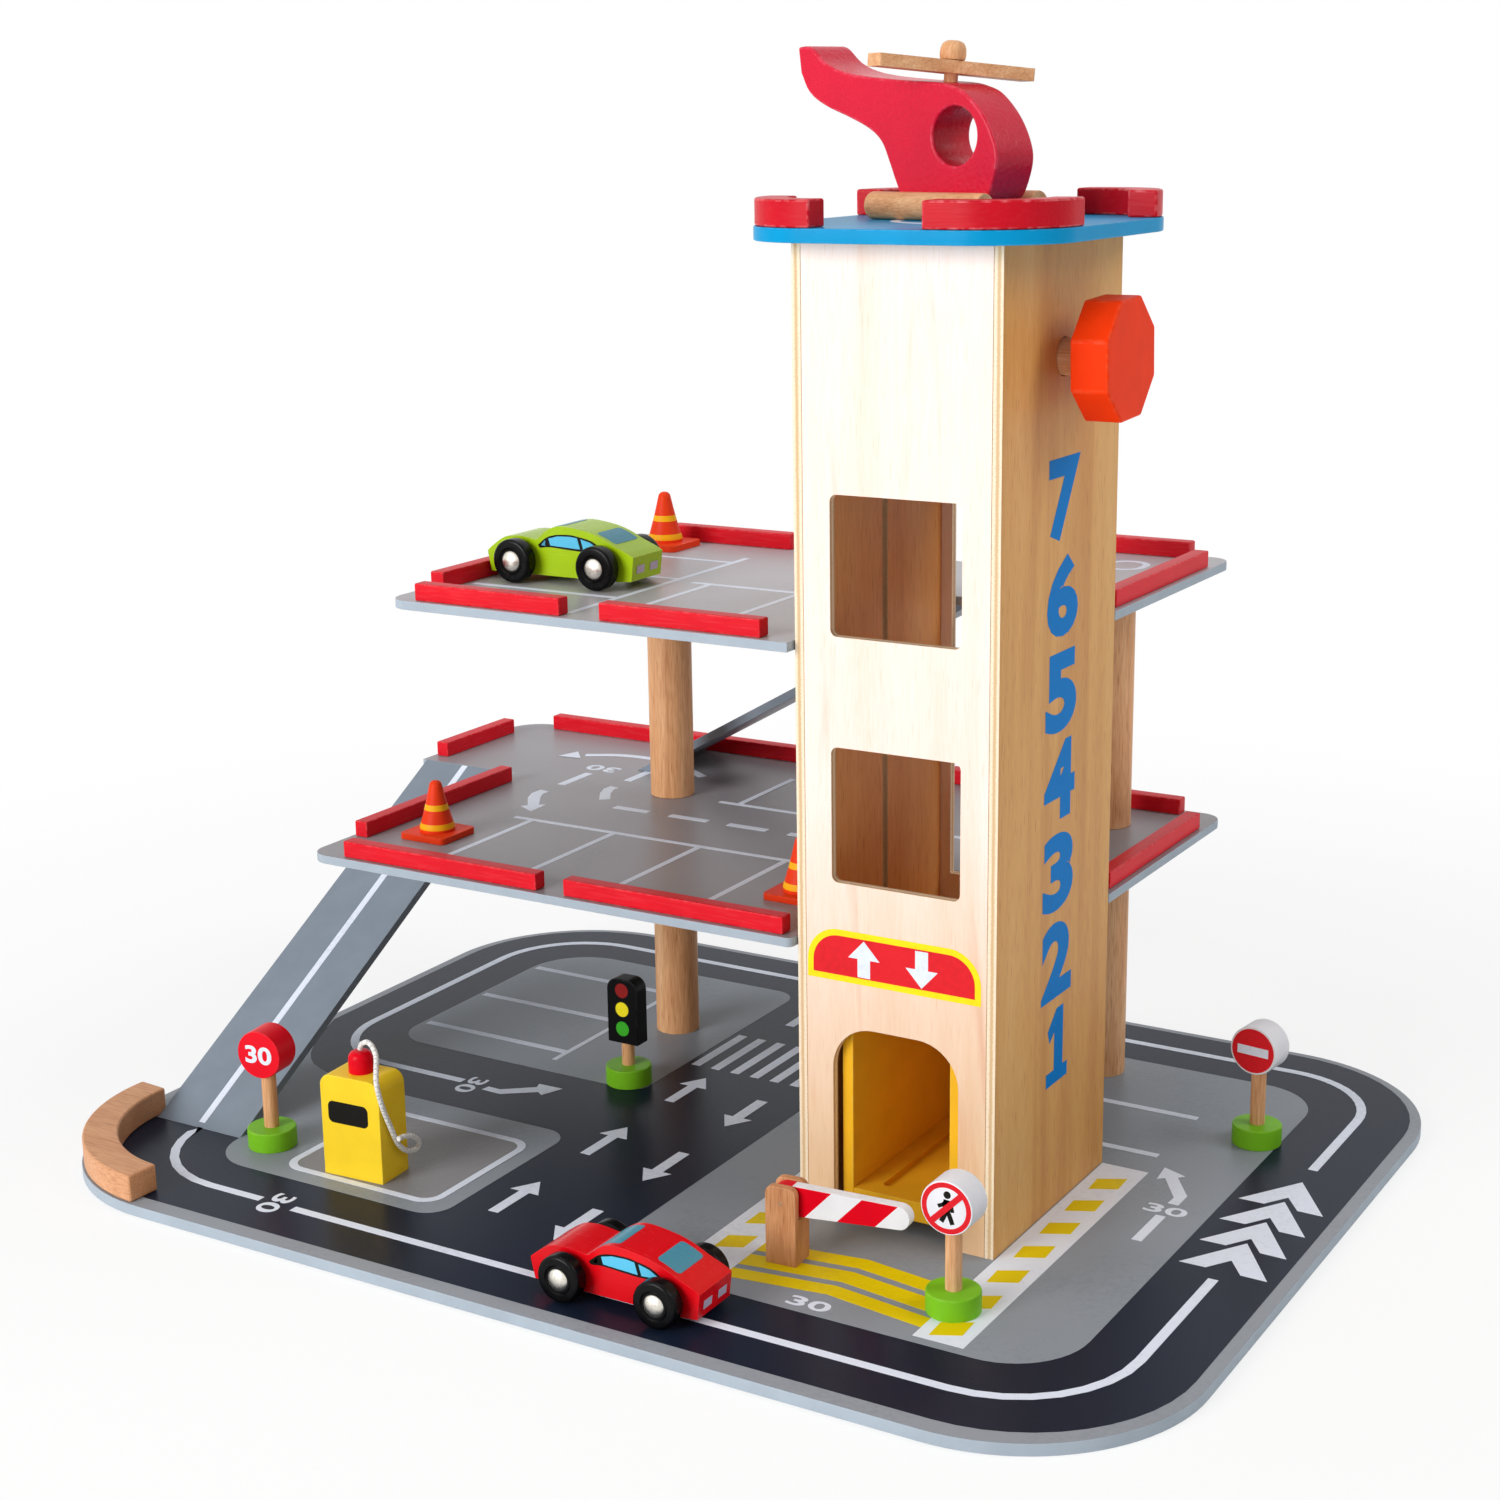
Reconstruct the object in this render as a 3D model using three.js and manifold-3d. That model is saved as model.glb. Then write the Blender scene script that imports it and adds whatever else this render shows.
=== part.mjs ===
// A wooden toy parking garage with a lift: a printed board, two decks, two ramps, a tower with
// a cranked lift, and the loose toys that stand on it. Millimetres, +Z up, with the origin at
// the centre of the board's underside. The tower's door faces -Y.
import * as THREE from "three";
import { mergeVertices } from "three/addons/utils/BufferGeometryUtils.js";
import Module from "manifold-3d";

const wasm = await Module();
wasm.setup();

// Board and ply
const boardLength = 520;
const boardWidth = 400;
const boardThickness = 5;
const boardCornerRadius = 76.5;
const plyThickness = 4;

// Tower walls, with the guide pads inside the two side walls
const towerWidth = 87.5;
const towerDepth = 108.3;
const towerLeft = 62.9;
const towerFront = -71.1;
const towerTop = 397.8;
const guideThickness = 7;
const towerRight = towerLeft + towerWidth;
const towerBack = towerFront + towerDepth;
const towerX = towerLeft + towerWidth / 2;
const towerY = towerFront + towerDepth / 2;

// Openings in the front and back walls
const windowWidth = 55.8;
const windowCornerRadius = 2.8;
const upperWindowSill = 249.2;
const lowerWindowSill = 150.6;
const windowHeight = 54.7;
const doorWidth = 55.6;
const doorHeight = 86;
const doorCornerRadius = 18;
const backLowerHeight = 79.8;
const backBarHeight = 14.1;
const backUpperHeight = 84.6;

// Deck rails
const railWidth = 7;
const railHeight = 7.5;
const railInset = 2.2;

// Wheel stop on the board's front left corner, set in from the corner's edge
const stopInset = 0.9;
const stopWidth = 15.4;
const stopHeight = 12.1;
const stopOuterRadius = boardCornerRadius - stopInset;
const stopInnerRadius = stopOuterRadius - stopWidth;
const stopX = boardCornerRadius - boardLength / 2;
const stopY = boardCornerRadius - boardWidth / 2;

// Ramps: the lower one stands beside the wheel stop's end
const rampWidth = 49.5;
const lowerRampRun = 206;
const upperRampRun = 211;
const rampGap = 0.5;
const rampStopGap = 0.2;
const rampFootDrop = 1.5;
const rampRailGap = 0.8;
const rampDeckGap = 6;
const lowerRampLeft = stopX - stopInnerRadius + rampStopGap;
const lowerRampFoot = stopY - rampFootDrop;

// Decks: heights of the upper faces, and edges in plan from the tower, the ramps and the board
const firstDeckTop = 125.5;
const topDeckTop = 246;
const deckGap = 0.5;
const deckBackInset = 27;
const firstDeckReach = 4.4;
const topDeckReach = 5.2;
const topDeckLeftInset = 53;
const topDeckStepInset = 12.1;
const earOverhang = 2.5;
const earRadius = 19;
const deckRadius = 10;
const deckSmallRadius = 3;
const deckRight = towerRight;
const deckBack = boardWidth / 2 - deckBackInset;
const deckNotchBack = towerBack + deckGap;
const deckBesideTower = towerLeft - deckGap;
const earLeft = lowerRampLeft - earOverhang;
const earFront = lowerRampFoot + lowerRampRun;
const firstDeckLeft = lowerRampLeft + rampWidth + rampDeckGap;
const firstDeckFront = towerFront - firstDeckReach;
const topDeckLeft = firstDeckLeft + topDeckLeftInset;
const topDeckFront = towerFront - topDeckReach;
const topDeckStep = towerLeft + topDeckStepInset;
const topDeckMidBack = deckBack - railInset - railWidth - rampRailGap - rampWidth - rampGap;

// Columns
const columnRadius = 10.5;

// Roof with its four corner arcs
const roofOverhangX = 20.6;
const roofOverhangY = 16.3;
const roofThickness = 5.4;
const roofCornerRadius = 32.8;
const arcOuterRadius = 32.3;
const arcInnerRadius = 20.3;
const arcHeight = 10.3;

// Lift cage, rope and crank
const cageSideGap = 6.25;
const cageFrontGap = 1.1;
const cageBackGap = 7.2;
const cageWall = 5;
const cageFloor = 8.7;
const cageLift = 6;
const cageHeight = 97;
const cageBarHeight = 8;
const cageBarWidth = 22;
const cageGrooveWidth = 4.6;
const cageGrooveDepth = 2.2;
const cageGrooveSpacing = 21;
const cageGrooveStart = 8;
const pegRadius = 1.8;
const pegClearance = 0.35;
const pegEndGap = 2.85;
const pegMargin = 14;
const pegReach = cageSideGap + guideThickness - pegEndGap;
const guideSlotWidth = 2 * (pegRadius + pegClearance);
const ropeRadius = 0.9;
const ropeClearance = 0.2;
const axleRadius = 7;
const axleDrop = 44.3;
const axleClearance = 0.4;
const axleEndGap = 0.6;
const axleHeight = towerTop - axleDrop;
const knobAcrossFlats = 45;
const knobThickness = 15.2;
const knobGap = 11.9;

// Helicopter
const heliLength = 104;
const heliHeight = 65.8;
const heliThickness = 22;
const heliHoleRadius = 11;
const skidRadius = 5.3;
const skidLength = 57.6;
const skidFlat = 0.4;
const gluedGap = 0.02;
const rotorLength = 66;
const rotorWidth = 11.5;
const rotorThickness = 4.8;
const rotorSeat = 54.1;
const pinRadius = 2.7;
const pinClearance = 0.5;
const pinHeadRadius = 5.1;
const pinHeadHeight = 7.2;
const pinDepth = 12;
const pinLift = 0.4;

// Signs and traffic light
const signBaseRadius = 10.75;
const signBaseHeight = 9.2;
const signPostRadius = 3.25;
const signHeadRadius = 10.8;
const signHeadThickness = 13;
const signHeadCentre = 44.5;
const lightPostRadius = 3;
const lightWidth = 16.5;
const lightDepth = 8.5;
const lightBottom = 20.5;
const lightTop = 52;

// Fuel pump and its hose
const pumpWidth = 30.6;
const pumpDepth = 19;
const pumpHeight = 46;
const pumpCornerRadius = 5.5;
const pumpCapRadius = 5.4;
const pumpCapHeight = 9.4;
const hoseRadius = 1.15;

// Barrier
const barrierWidth = 13.4;
const barrierDepth = 12.8;
const barrierHeight = 33.2;
const barrierCornerRadius = 3.5;
const barrierPinHeight = 26.3;
const barrierPinRadius = 1.25;
const barrierPinClearance = 0.35;
const barrierArmThickness = 5;
const barrierArmSideGap = 0.4;
const barrierArmUnderGap = 0.6;
const barrierArmRootRadius = 6.5;
const barrierArmTipRadius = 4.85;
const barrierArmReach = 48.5;
const barrierArmTipRise = 1.7;

// Cones
const conePlate = 25;
const conePlateThickness = 3;
const conePlateRadius = 2.5;
const coneHeight = 26.3;
const coneFootRadius = 8.1;

// Cars
const carLength = 77.1;
const carHeight = 25.3;
const carWidth = 23;
const wheelRadius = 9.6;
const wheelThickness = 6.5;
const wheelGap = 2;
const wheelEdge = 1;
const hubRadius = 4.6;
const hubProud = 0.6;
const carAxleRadius = 1.75;
const carAxleClearance = 0.4;
const carLift = 0.3;
const carRailGap = 0.256;

// Places on the board, as shares of its length and width from its centre
const redSignShares = [-0.3387, -0.3078];
const noEntrySignShares = [0.3858, 0.2233];
const walkerSignShares = [0.2988, -0.2908];
const lightShares = [-0.1512, 0.036];
const pumpShares = [-0.2335, -0.312];
const barrierShares = [0.1519, -0.273];
const redCarShares = [0.0813, -0.4138];

// Places on the decks, as shares of an area's length and width from its front left corner
const firstArea = [firstDeckLeft, deckBesideTower, firstDeckFront, earFront];
const topArea = [topDeckLeft, topDeckStep, topDeckFront, topDeckMidBack];
const landingArea = [topDeckStep, deckRight, deckNotchBack, deckBack];
const leftColumnShares = [0.181, 0.8563];
const rightColumnShares = [0.4403, 0.7221];
const greenCarShareY = 0.3819;
const farConeShares = [0.1407, 0.3143];
const nearConeShares = [0.9053, 0.3214];
const highConeShares = [0.1786, 0.8532];

// Start and end of each rail, as shares of its deck edge's length from the left or front end
const firstRailShares = {
  front_left: [0.0759, 0.4954],
  front_right: [0.5514, 0.9792],
  left: [0.1949, 0.9105],
  ear: [0.0978, 0.7283],
  back_left: [0.0578, 0.5249],
  back_right: [0.5603, 0.9538],
  right: [0.0466, 0.8152],
};
const topRailShares = {
  front_left: [0.0709, 0.4484],
  front_right: [0.5472, 0.932],
  left: [0.1495, 0.72],
  back_left: [0.1377, 0.4522],
  back_right: [0.0674, 0.7708],
  right: [0.0466, 0.8152],
};

// Straight ends of the roof arcs, as shares of the outer radius: along X, then along Y
const arcEndShares = {
  front_left: [0.14, 0.1],
  front_right: [0.4, 0.25],
  back_left: [0.25, 0.12],
  back_right: [0.3, 0],
};

// Helicopter outline, as shares of its length from the hole's side and of its height
const heliTopShares = [
  [-0.713, 1],
  [-0.645, 0.996],
  [-0.57, 0.907],
  [-0.482, 0.853],
  [-0.365, 0.821],
  [-0.193, 0.796],
  [0, 0.775],
  [0.082, 0.749],
  [0.137, 0.713],
  [0.196, 0.634],
  [0.243, 0.541],
  [0.277, 0.433],
  [0.288, 0.34],
  [0.272, 0.233],
  [0.24, 0.13],
  [0.18, 0.062],
];
const heliUnderShares = [
  [-0.165, 0.062],
  [-0.193, 0.169],
  [-0.215, 0.24],
  [-0.243, 0.337],
  [-0.279, 0.442],
  [-0.338, 0.514],
  [-0.438, 0.58],
  [-0.572, 0.655],
  [-0.655, 0.734],
  [-0.699, 0.847],
];
const heliHoleShares = [0.084, 0.476];
const rotorPlaceShare = -0.024;
const heliPlaceShares = [-0.0954, 0.1085];

// Turned profiles, as shares of the greatest radius and of the height
const pinHeadShares = [
  [0.92, 0],
  [1, 0.25],
  [0.96, 0.6],
  [0.74, 0.88],
  [0.4, 1],
];
const pumpCapShares = [
  [1, 0],
  [1, 0.62],
  [0.86, 0.86],
  [0.5, 1],
];
const coneBodyShares = [
  [1, 0],
  [1, 0.17],
  [0.91, 0.26],
  [0.63, 0.57],
  [0.37, 0.9],
  [0.22, 0.98],
];

// Car outline, as shares of its length from the nose and of its height over the wheels' plane
const carTopShares = [
  [0, 0.423],
  [0.008, 0.498],
  [0.11, 0.715],
  [0.18, 0.767],
  [0.241, 0.771],
  [0.302, 0.751],
  [0.349, 0.743],
  [0.398, 0.866],
  [0.458, 0.968],
  [0.527, 1],
  [0.619, 0.976],
  [0.711, 0.929],
  [0.792, 0.85],
  [0.874, 0.735],
  [0.956, 0.636],
  [1, 0.565],
];
const carUnderShares = [
  [0.984, 0.15],
  [0.9, 0.126],
  [0.333, 0.118],
  [0.022, 0.115],
];
const frontAxleShare = 0.237;
const rearAxleShare = 0.802;

// Angles in degrees
const stopFromAngle = 175.5;
const stopToAngle = 267;
const knobTurn = 3;
const heliTurn = -15;
const rotorTurn = 68;
const rotorLean = 5.5;
const redSignTurn = 7.5;
const noEntryTurn = -8;
const pumpTurn = 3.5;
const barrierTurn = 4;

// Vertices nearer than this share of the board's thickness are one vertex
const mergeShare = 2e-4;

// Segments of the round pieces
const fine = 32;
const medium = 20;
const coarse = 12;

// The hose's route, chosen by hand, from the middle of the cap's top down beside the pump
const hoseRoute = [
  [0.2, -0.4, 0.8],
  [1.4, -0.6, 3.1],
  [4.6, -1, 4.9],
  [8.2, -2, 4.2],
  [11.7, -3.8, 1],
  [14.6, -7.5, -2.9],
  [16.7, -10.4, -7.2],
  [17.5, -10.3, -12.7],
  [17.6, -7.7, -21.2],
  [17.6, -4.2, -29.2],
  [17.6, -1.8, -34.8],
  [17.6, 1.3, -40.3],
  [17.6, 6.7, -44.9],
  [17.8, 12.3, -45.9],
  [19.1, 12.7, -42.6],
  [20.6, 7.1, -37.7],
  [20.6, 1.6, -35.6],
  [20.6, -2.7, -35.3],
];
const hoseSteps = 56;
const hoseSides = 8;

// Paints and woods
const paint = (color, roughness = 0.45) =>
  new THREE.MeshStandardMaterial({ color, roughness, metalness: 0 });
const birch = paint("#f3dfc4", 0.6);
const beech = paint("#d9a06c", 0.6);
const boardPaint = paint("#5a5f68", 0.5);
const deckPaint = paint("#8e8a8c", 0.4);
const rampPaint = paint("#8c97a3", 0.45);
const railRed = paint("#e8192c");
const roofBlue = paint("#0f8fe0");
const cageYellow = paint("#d9a400", 0.5);
const knobOrange = paint("#e6391a");
const heliRed = paint("#d81e40");
const signGreen = paint("#86c01e");
const lightBlack = paint("#1c1c1e");
const pumpYellow = paint("#ffdc2a");
const capRed = paint("#e4001b");
const cordWhite = paint("#efefef", 0.8);
const barrierWhite = paint("#ececf0");
const coneOrange = paint("#e8401a");
const carRed = paint("#e8131f", 0.35);
const carGreen = paint("#a4d21a", 0.35);
const tyreBlack = paint("#151515", 0.5);

const garage = new THREE.Group();
const radians = THREE.MathUtils.degToRad;
const roofTop = towerTop + roofThickness;

// Adds one named sub-part to a group
function add(name, geometry, material, group = garage) {
  const mesh = new THREE.Mesh(geometry, material);
  mesh.name = name;
  group.add(mesh);
  return mesh;
}

// Turns a closed geometry into a solid for joining and cutting
function solid(geometry) {
  const bare = geometry.clone();
  bare.deleteAttribute("normal");
  bare.deleteAttribute("uv");
  const merged = mergeVertices(bare, boardThickness * mergeShare);
  const index = merged.index.array;
  const kept = [];
  for (let i = 0; i < index.length; i += 3) {
    const [a, b, c] = index.slice(i, i + 3);
    if (a !== b && b !== c && a !== c) kept.push(a, b, c);
  }
  return new wasm.Manifold(
    new wasm.Mesh({
      numProp: 3,
      vertProperties: merged.attributes.position.array,
      triVerts: new Uint32Array(kept),
    }),
  );
}

// Turns a solid back into a geometry
function geometryOf(manifold) {
  const mesh = manifold.getMesh();
  return new THREE.BufferGeometry()
    .setAttribute("position", new THREE.BufferAttribute(mesh.vertProperties, 3))
    .setIndex(new THREE.BufferAttribute(mesh.triVerts, 1));
}

const joined = (...pieces) =>
  geometryOf(pieces.map(solid).reduce((all, piece) => all.add(piece)));
const cut = (body, ...tools) =>
  geometryOf(tools.map(solid).reduce((all, tool) => all.subtract(tool), solid(body)));

// A box between two corners
function box([x0, y0, z0], [x1, y1, z1]) {
  const middle = [(x0 + x1) / 2, (y0 + y1) / 2, (z0 + z1) / 2];
  return new THREE.BoxGeometry(x1 - x0, y1 - y0, z1 - z0).translate(...middle);
}

// A closed outline of [x, y, corner radius] with square corners rounded by arcs
function outline(corners, Kind = THREE.Shape) {
  const points = [];
  corners.forEach(([x, y, radius = 0], i) => {
    const corner = new THREE.Vector2(x, y);
    if (!radius) return void points.push(corner);
    const side = (j) => {
      const [sx, sy] = corners[(j + corners.length) % corners.length];
      return new THREE.Vector2(sx, sy).sub(corner).normalize().multiplyScalar(radius);
    };
    const before = side(i - 1);
    const after = side(i + 1);
    const centre = corner.clone().add(before).add(after);
    const steps = radius > boardCornerRadius / 2 ? coarse : coarse / 2;
    for (let k = 0; k <= steps; k++) {
      const angle = (k / steps) * (Math.PI / 2);
      const point = centre.clone();
      point.addScaledVector(after, -Math.cos(angle));
      point.addScaledVector(before, -Math.sin(angle));
      points.push(point);
    }
  });
  return new Kind(points);
}

// The four corners of a rectangle, with one radius for the two low and one for the two high ones
const rectangle = (x0, x1, y0, y1, low = 0, high = low) => [
  [x0, y0, low],
  [x1, y0, low],
  [x1, y1, high],
  [x0, y1, high],
];

// Extrusions of an outline: upwards from a height, from the front to the back, and along X
const rising = (shape, z, height, curveSegments = coarse) =>
  new THREE.ExtrudeGeometry(shape, { depth: height, bevelEnabled: false, curveSegments }).translate(0, 0, z);

function facing(shape, front, depth, curveSegments = 3) {
  const basis = new THREE.Matrix4().makeBasis(
    new THREE.Vector3(1, 0, 0),
    new THREE.Vector3(0, 0, 1),
    new THREE.Vector3(0, -1, 0),
  );
  return new THREE.ExtrudeGeometry(shape, { depth, bevelEnabled: false, curveSegments })
    .applyMatrix4(basis)
    .translate(0, front + depth, 0);
}

function sideways(shape, left, width) {
  const basis = new THREE.Matrix4().makeBasis(
    new THREE.Vector3(0, 1, 0),
    new THREE.Vector3(0, 0, 1),
    new THREE.Vector3(1, 0, 0),
  );
  return new THREE.ExtrudeGeometry(shape, { depth: width, bevelEnabled: false })
    .applyMatrix4(basis)
    .translate(left, 0, 0);
}

// Cylinders along Z, X and Y, from their low end
const upright = (radius, height, sides = medium) =>
  new THREE.CylinderGeometry(radius, radius, height, sides)
    .rotateX(Math.PI / 2)
    .translate(0, 0, height / 2);
const across = (radius, length, sides = medium) =>
  new THREE.CylinderGeometry(radius, radius, length, sides)
    .rotateZ(Math.PI / 2)
    .translate(length / 2, 0, 0);
const deep = (radius, length, sides = medium) =>
  new THREE.CylinderGeometry(radius, radius, length, sides).translate(0, length / 2, 0);

// A turned body of [radius, height] points about Z
const turned = (points, sides = medium) =>
  new THREE.LatheGeometry(points.map(([r, z]) => new THREE.Vector2(r, z)), sides).rotateX(Math.PI / 2);

// A turned body's [radius, height] points from shares of its greatest radius and its height
const profile = (shares, radius, height, bottom = 0) =>
  shares.map(([r, z]) => [r * radius, bottom + z * height]);

// Puts a mesh or a group at a place given in shares of the board, on a height, turned about Z
function stand(object, [shareX, shareY], height, turn = 0) {
  object.position.set(shareX * boardLength, shareY * boardWidth, height);
  object.rotation.z = radians(turn);
}

// Puts a mesh or a group at a place given in shares of an area of a deck, on a height
function standIn([left, right, front, back], object, [shareX, shareY], height) {
  object.position.set(left + shareX * (right - left), front + shareY * (back - front), height);
}

function makeBoard() {
  const half = [boardLength / 2, boardWidth / 2];
  const corners = rectangle(-half[0], half[0], -half[1], half[1], boardCornerRadius);
  add("base_board", rising(outline(corners), 0, boardThickness), boardPaint);
}

// The wheel stop follows the board's front left corner
function makeWheelStop() {
  const shape = new THREE.Shape();
  const from = radians(stopFromAngle);
  const to = radians(stopToAngle);
  shape.absarc(0, 0, stopOuterRadius, from, to, false);
  shape.absarc(0, 0, stopInnerRadius, to, from, true);
  shape.closePath();
  const stop = add("wheel_stop", rising(shape, 0, stopHeight), beech);
  stop.position.set(stopX, stopY, boardThickness);
}

// Decks are cut round the tower and stand on the columns
function makeDecks() {
  const first = outline([
    [firstDeckLeft, firstDeckFront, deckRadius],
    [deckBesideTower, firstDeckFront, deckSmallRadius],
    [deckBesideTower, deckNotchBack],
    [deckRight, deckNotchBack],
    [deckRight, deckBack, deckRadius],
    [earLeft, deckBack, earRadius],
    [earLeft, earFront],
    [firstDeckLeft, earFront],
  ]);
  const top = outline([
    [topDeckLeft, topDeckFront, deckRadius],
    [deckBesideTower, topDeckFront],
    [deckBesideTower, deckNotchBack],
    [deckRight, deckNotchBack],
    [deckRight, deckBack, deckRadius],
    [topDeckStep, deckBack],
    [topDeckStep, topDeckMidBack],
    [topDeckLeft, topDeckMidBack, deckRadius],
  ]);
  add("first_deck", rising(first, firstDeckTop - plyThickness, plyThickness), deckPaint);
  add("top_deck", rising(top, topDeckTop - plyThickness, plyThickness), deckPaint);
}

// A ramp's side outline: feathered at the foot, cut upright at the top
function rampOutline(start, run, low, high) {
  const slope = (high - low) / run;
  const thickness = plyThickness * Math.hypot(1, slope);
  return new THREE.Shape([
    new THREE.Vector2(start, low),
    new THREE.Vector2(start + thickness / slope, low),
    new THREE.Vector2(start + run, high - thickness),
    new THREE.Vector2(start + run, high),
  ]);
}

function makeRamps() {
  const lower = rampOutline(lowerRampFoot, lowerRampRun, boardThickness, firstDeckTop);
  add("lower_ramp", sideways(lower, lowerRampLeft, rampWidth), rampPaint);
  const upper = rampOutline(topDeckStep - upperRampRun, upperRampRun, firstDeckTop, topDeckTop);
  const front = topDeckMidBack + rampGap;
  add("upper_ramp", facing(upper, front, rampWidth), rampPaint);
}

// One rail lies along X or along Y on its edge of a deck, set in from it
function rail(name, shares, { edge, inwards, from, to, alongX }, height) {
  const [start, end] = shares.map((share) => from + share * (to - from));
  const outer = edge + inwards * railInset;
  const inner = outer + inwards * railWidth;
  const low = Math.min(outer, inner);
  const high = Math.max(outer, inner);
  const top = height + railHeight;
  add(
    name,
    alongX ? box([start, low, height], [end, high, top]) : box([low, start, height], [high, end, top]),
    railRed,
  );
}

function makeRails() {
  const along = (edge, inwards, from, to) => ({ edge, inwards, from, to, alongX: true });
  const beside = (edge, inwards, from, to) => ({ edge, inwards, from, to, alongX: false });
  const firstEdges = {
    front_left: along(firstDeckFront, 1, firstDeckLeft, deckBesideTower),
    front_right: along(firstDeckFront, 1, firstDeckLeft, deckBesideTower),
    left: beside(firstDeckLeft, 1, firstDeckFront, earFront),
    ear: beside(earLeft, 1, earFront, deckBack),
    back_left: along(deckBack, -1, earLeft, deckRight),
    back_right: along(deckBack, -1, earLeft, deckRight),
    right: beside(deckRight, -1, deckNotchBack, deckBack),
  };
  const topEdges = {
    front_left: along(topDeckFront, 1, topDeckLeft, deckBesideTower),
    front_right: along(topDeckFront, 1, topDeckLeft, deckBesideTower),
    left: beside(topDeckLeft, 1, topDeckFront, topDeckMidBack),
    back_left: along(topDeckMidBack, -1, topDeckLeft, topDeckStep),
    back_right: along(deckBack, -1, topDeckStep, deckRight),
    right: beside(deckRight, -1, deckNotchBack, deckBack),
  };
  for (const [place, edge] of Object.entries(firstEdges))
    rail(`first_rail_${place}`, firstRailShares[place], edge, firstDeckTop);
  for (const [place, edge] of Object.entries(topEdges))
    rail(`top_rail_${place}`, topRailShares[place], edge, topDeckTop);
}

function makeColumns() {
  const places = {
    left: [topArea, leftColumnShares],
    right: [landingArea, rightColumnShares],
  };
  const levels = {
    lower: [boardThickness, firstDeckTop - plyThickness],
    upper: [firstDeckTop, topDeckTop - plyThickness],
  };
  for (const [side, [area, shares]] of Object.entries(places))
    for (const [level, [bottom, top]] of Object.entries(levels)) {
      const column = add(`column_${side}_${level}`, upright(columnRadius, top - bottom, fine), beech);
      standIn(area, column, shares, bottom);
    }
}

// A side wall carries two guide pads with the cage's slot between them
function sideWall(outside, inwards) {
  const face = outside + inwards * plyThickness;
  const padFace = face + inwards * guideThickness;
  const slab = (a, b, y0, y1) =>
    box([Math.min(a, b), y0, boardThickness], [Math.max(a, b), y1, towerTop]);
  return joined(
    slab(outside, face, towerFront, towerBack),
    slab(face, padFace, towerFront + plyThickness, towerY - guideSlotWidth / 2),
    slab(face, padFace, towerY + guideSlotWidth / 2, towerBack - plyThickness),
  );
}

// An end wall stands between the side walls and has openings
function endWall(front, openings) {
  const left = towerLeft + plyThickness;
  const right = towerRight - plyThickness;
  const shape = outline(rectangle(left, right, boardThickness, towerTop));
  const pieces = openings.map(([bottom, height, width, low, high]) => {
    const corners = rectangle(towerX - width / 2, towerX + width / 2, bottom, bottom + height, low, high);
    return facing(outline(corners), front - plyThickness, plyThickness * 3);
  });
  return cut(facing(shape, front, plyThickness), ...pieces);
}

function makeTower() {
  const axleHole = across(axleRadius + axleClearance, towerWidth, fine);
  const leftHole = axleHole.clone().translate(towerLeft + plyThickness, towerY, axleHeight);
  const rightHole = axleHole.clone().translate(towerX, towerY, axleHeight);
  add("tower_left", cut(sideWall(towerLeft, 1), leftHole), birch);
  add("tower_right", cut(sideWall(towerRight, -1), rightHole), birch);
  const frontOpenings = [
    [0, boardThickness + doorHeight, doorWidth, 0, doorCornerRadius],
    [lowerWindowSill, windowHeight, windowWidth, windowCornerRadius, windowCornerRadius],
    [upperWindowSill, windowHeight, windowWidth, windowCornerRadius, windowCornerRadius],
  ];
  const backUpperSill = firstDeckTop + backLowerHeight + backBarHeight;
  const backOpenings = [
    [firstDeckTop, backLowerHeight, windowWidth, 0, windowCornerRadius],
    [backUpperSill, backUpperHeight, windowWidth, windowCornerRadius, windowCornerRadius],
  ];
  add("tower_front", endWall(towerFront, frontOpenings), birch);
  add("tower_back", endWall(towerBack - plyThickness, backOpenings), birch);
}

function makeRoof() {
  const left = towerLeft - roofOverhangX;
  const right = towerRight + roofOverhangX;
  const front = towerFront - roofOverhangY;
  const back = towerBack + roofOverhangY;
  const board = outline(rectangle(left, right, front, back, roofCornerRadius));
  add("roof_board", rising(board, towerTop, roofThickness), roofBlue);
  const centres = {
    front_left: [left + roofCornerRadius, front + roofCornerRadius, -1, -1],
    front_right: [right - roofCornerRadius, front + roofCornerRadius, 1, -1],
    back_left: [left + roofCornerRadius, back - roofCornerRadius, -1, 1],
    back_right: [right - roofCornerRadius, back - roofCornerRadius, 1, 1],
  };
  for (const [place, [x, y, signX, signY]] of Object.entries(centres)) {
    const [endX, endY] = arcEndShares[place].map((share) => share * arcOuterRadius);
    const quarter = (radius) =>
      Array.from({ length: coarse + 1 }, (_, k) => {
        const angle = (k / coarse) * (Math.PI / 2);
        return [x + signX * radius * Math.sin(angle), y + signY * radius * Math.cos(angle)];
      });
    const outer = quarter(arcOuterRadius);
    const inner = quarter(arcInnerRadius);
    const points = [
      ...(endX ? [[x - signX * endX, y + signY * arcOuterRadius]] : []),
      ...outer,
      ...(endY ? [[x + signX * arcOuterRadius, y - signY * endY]] : []),
      ...(endY ? [[x + signX * arcInnerRadius, y - signY * endY]] : []),
      ...inner.reverse(),
      ...(endX ? [[x - signX * endX, y + signY * arcInnerRadius]] : []),
    ];
    const shape = new THREE.Shape(points.map((point) => new THREE.Vector2(...point)));
    add(`roof_arc_${place}`, rising(shape, roofTop, arcHeight), railRed);
  }
}

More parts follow.
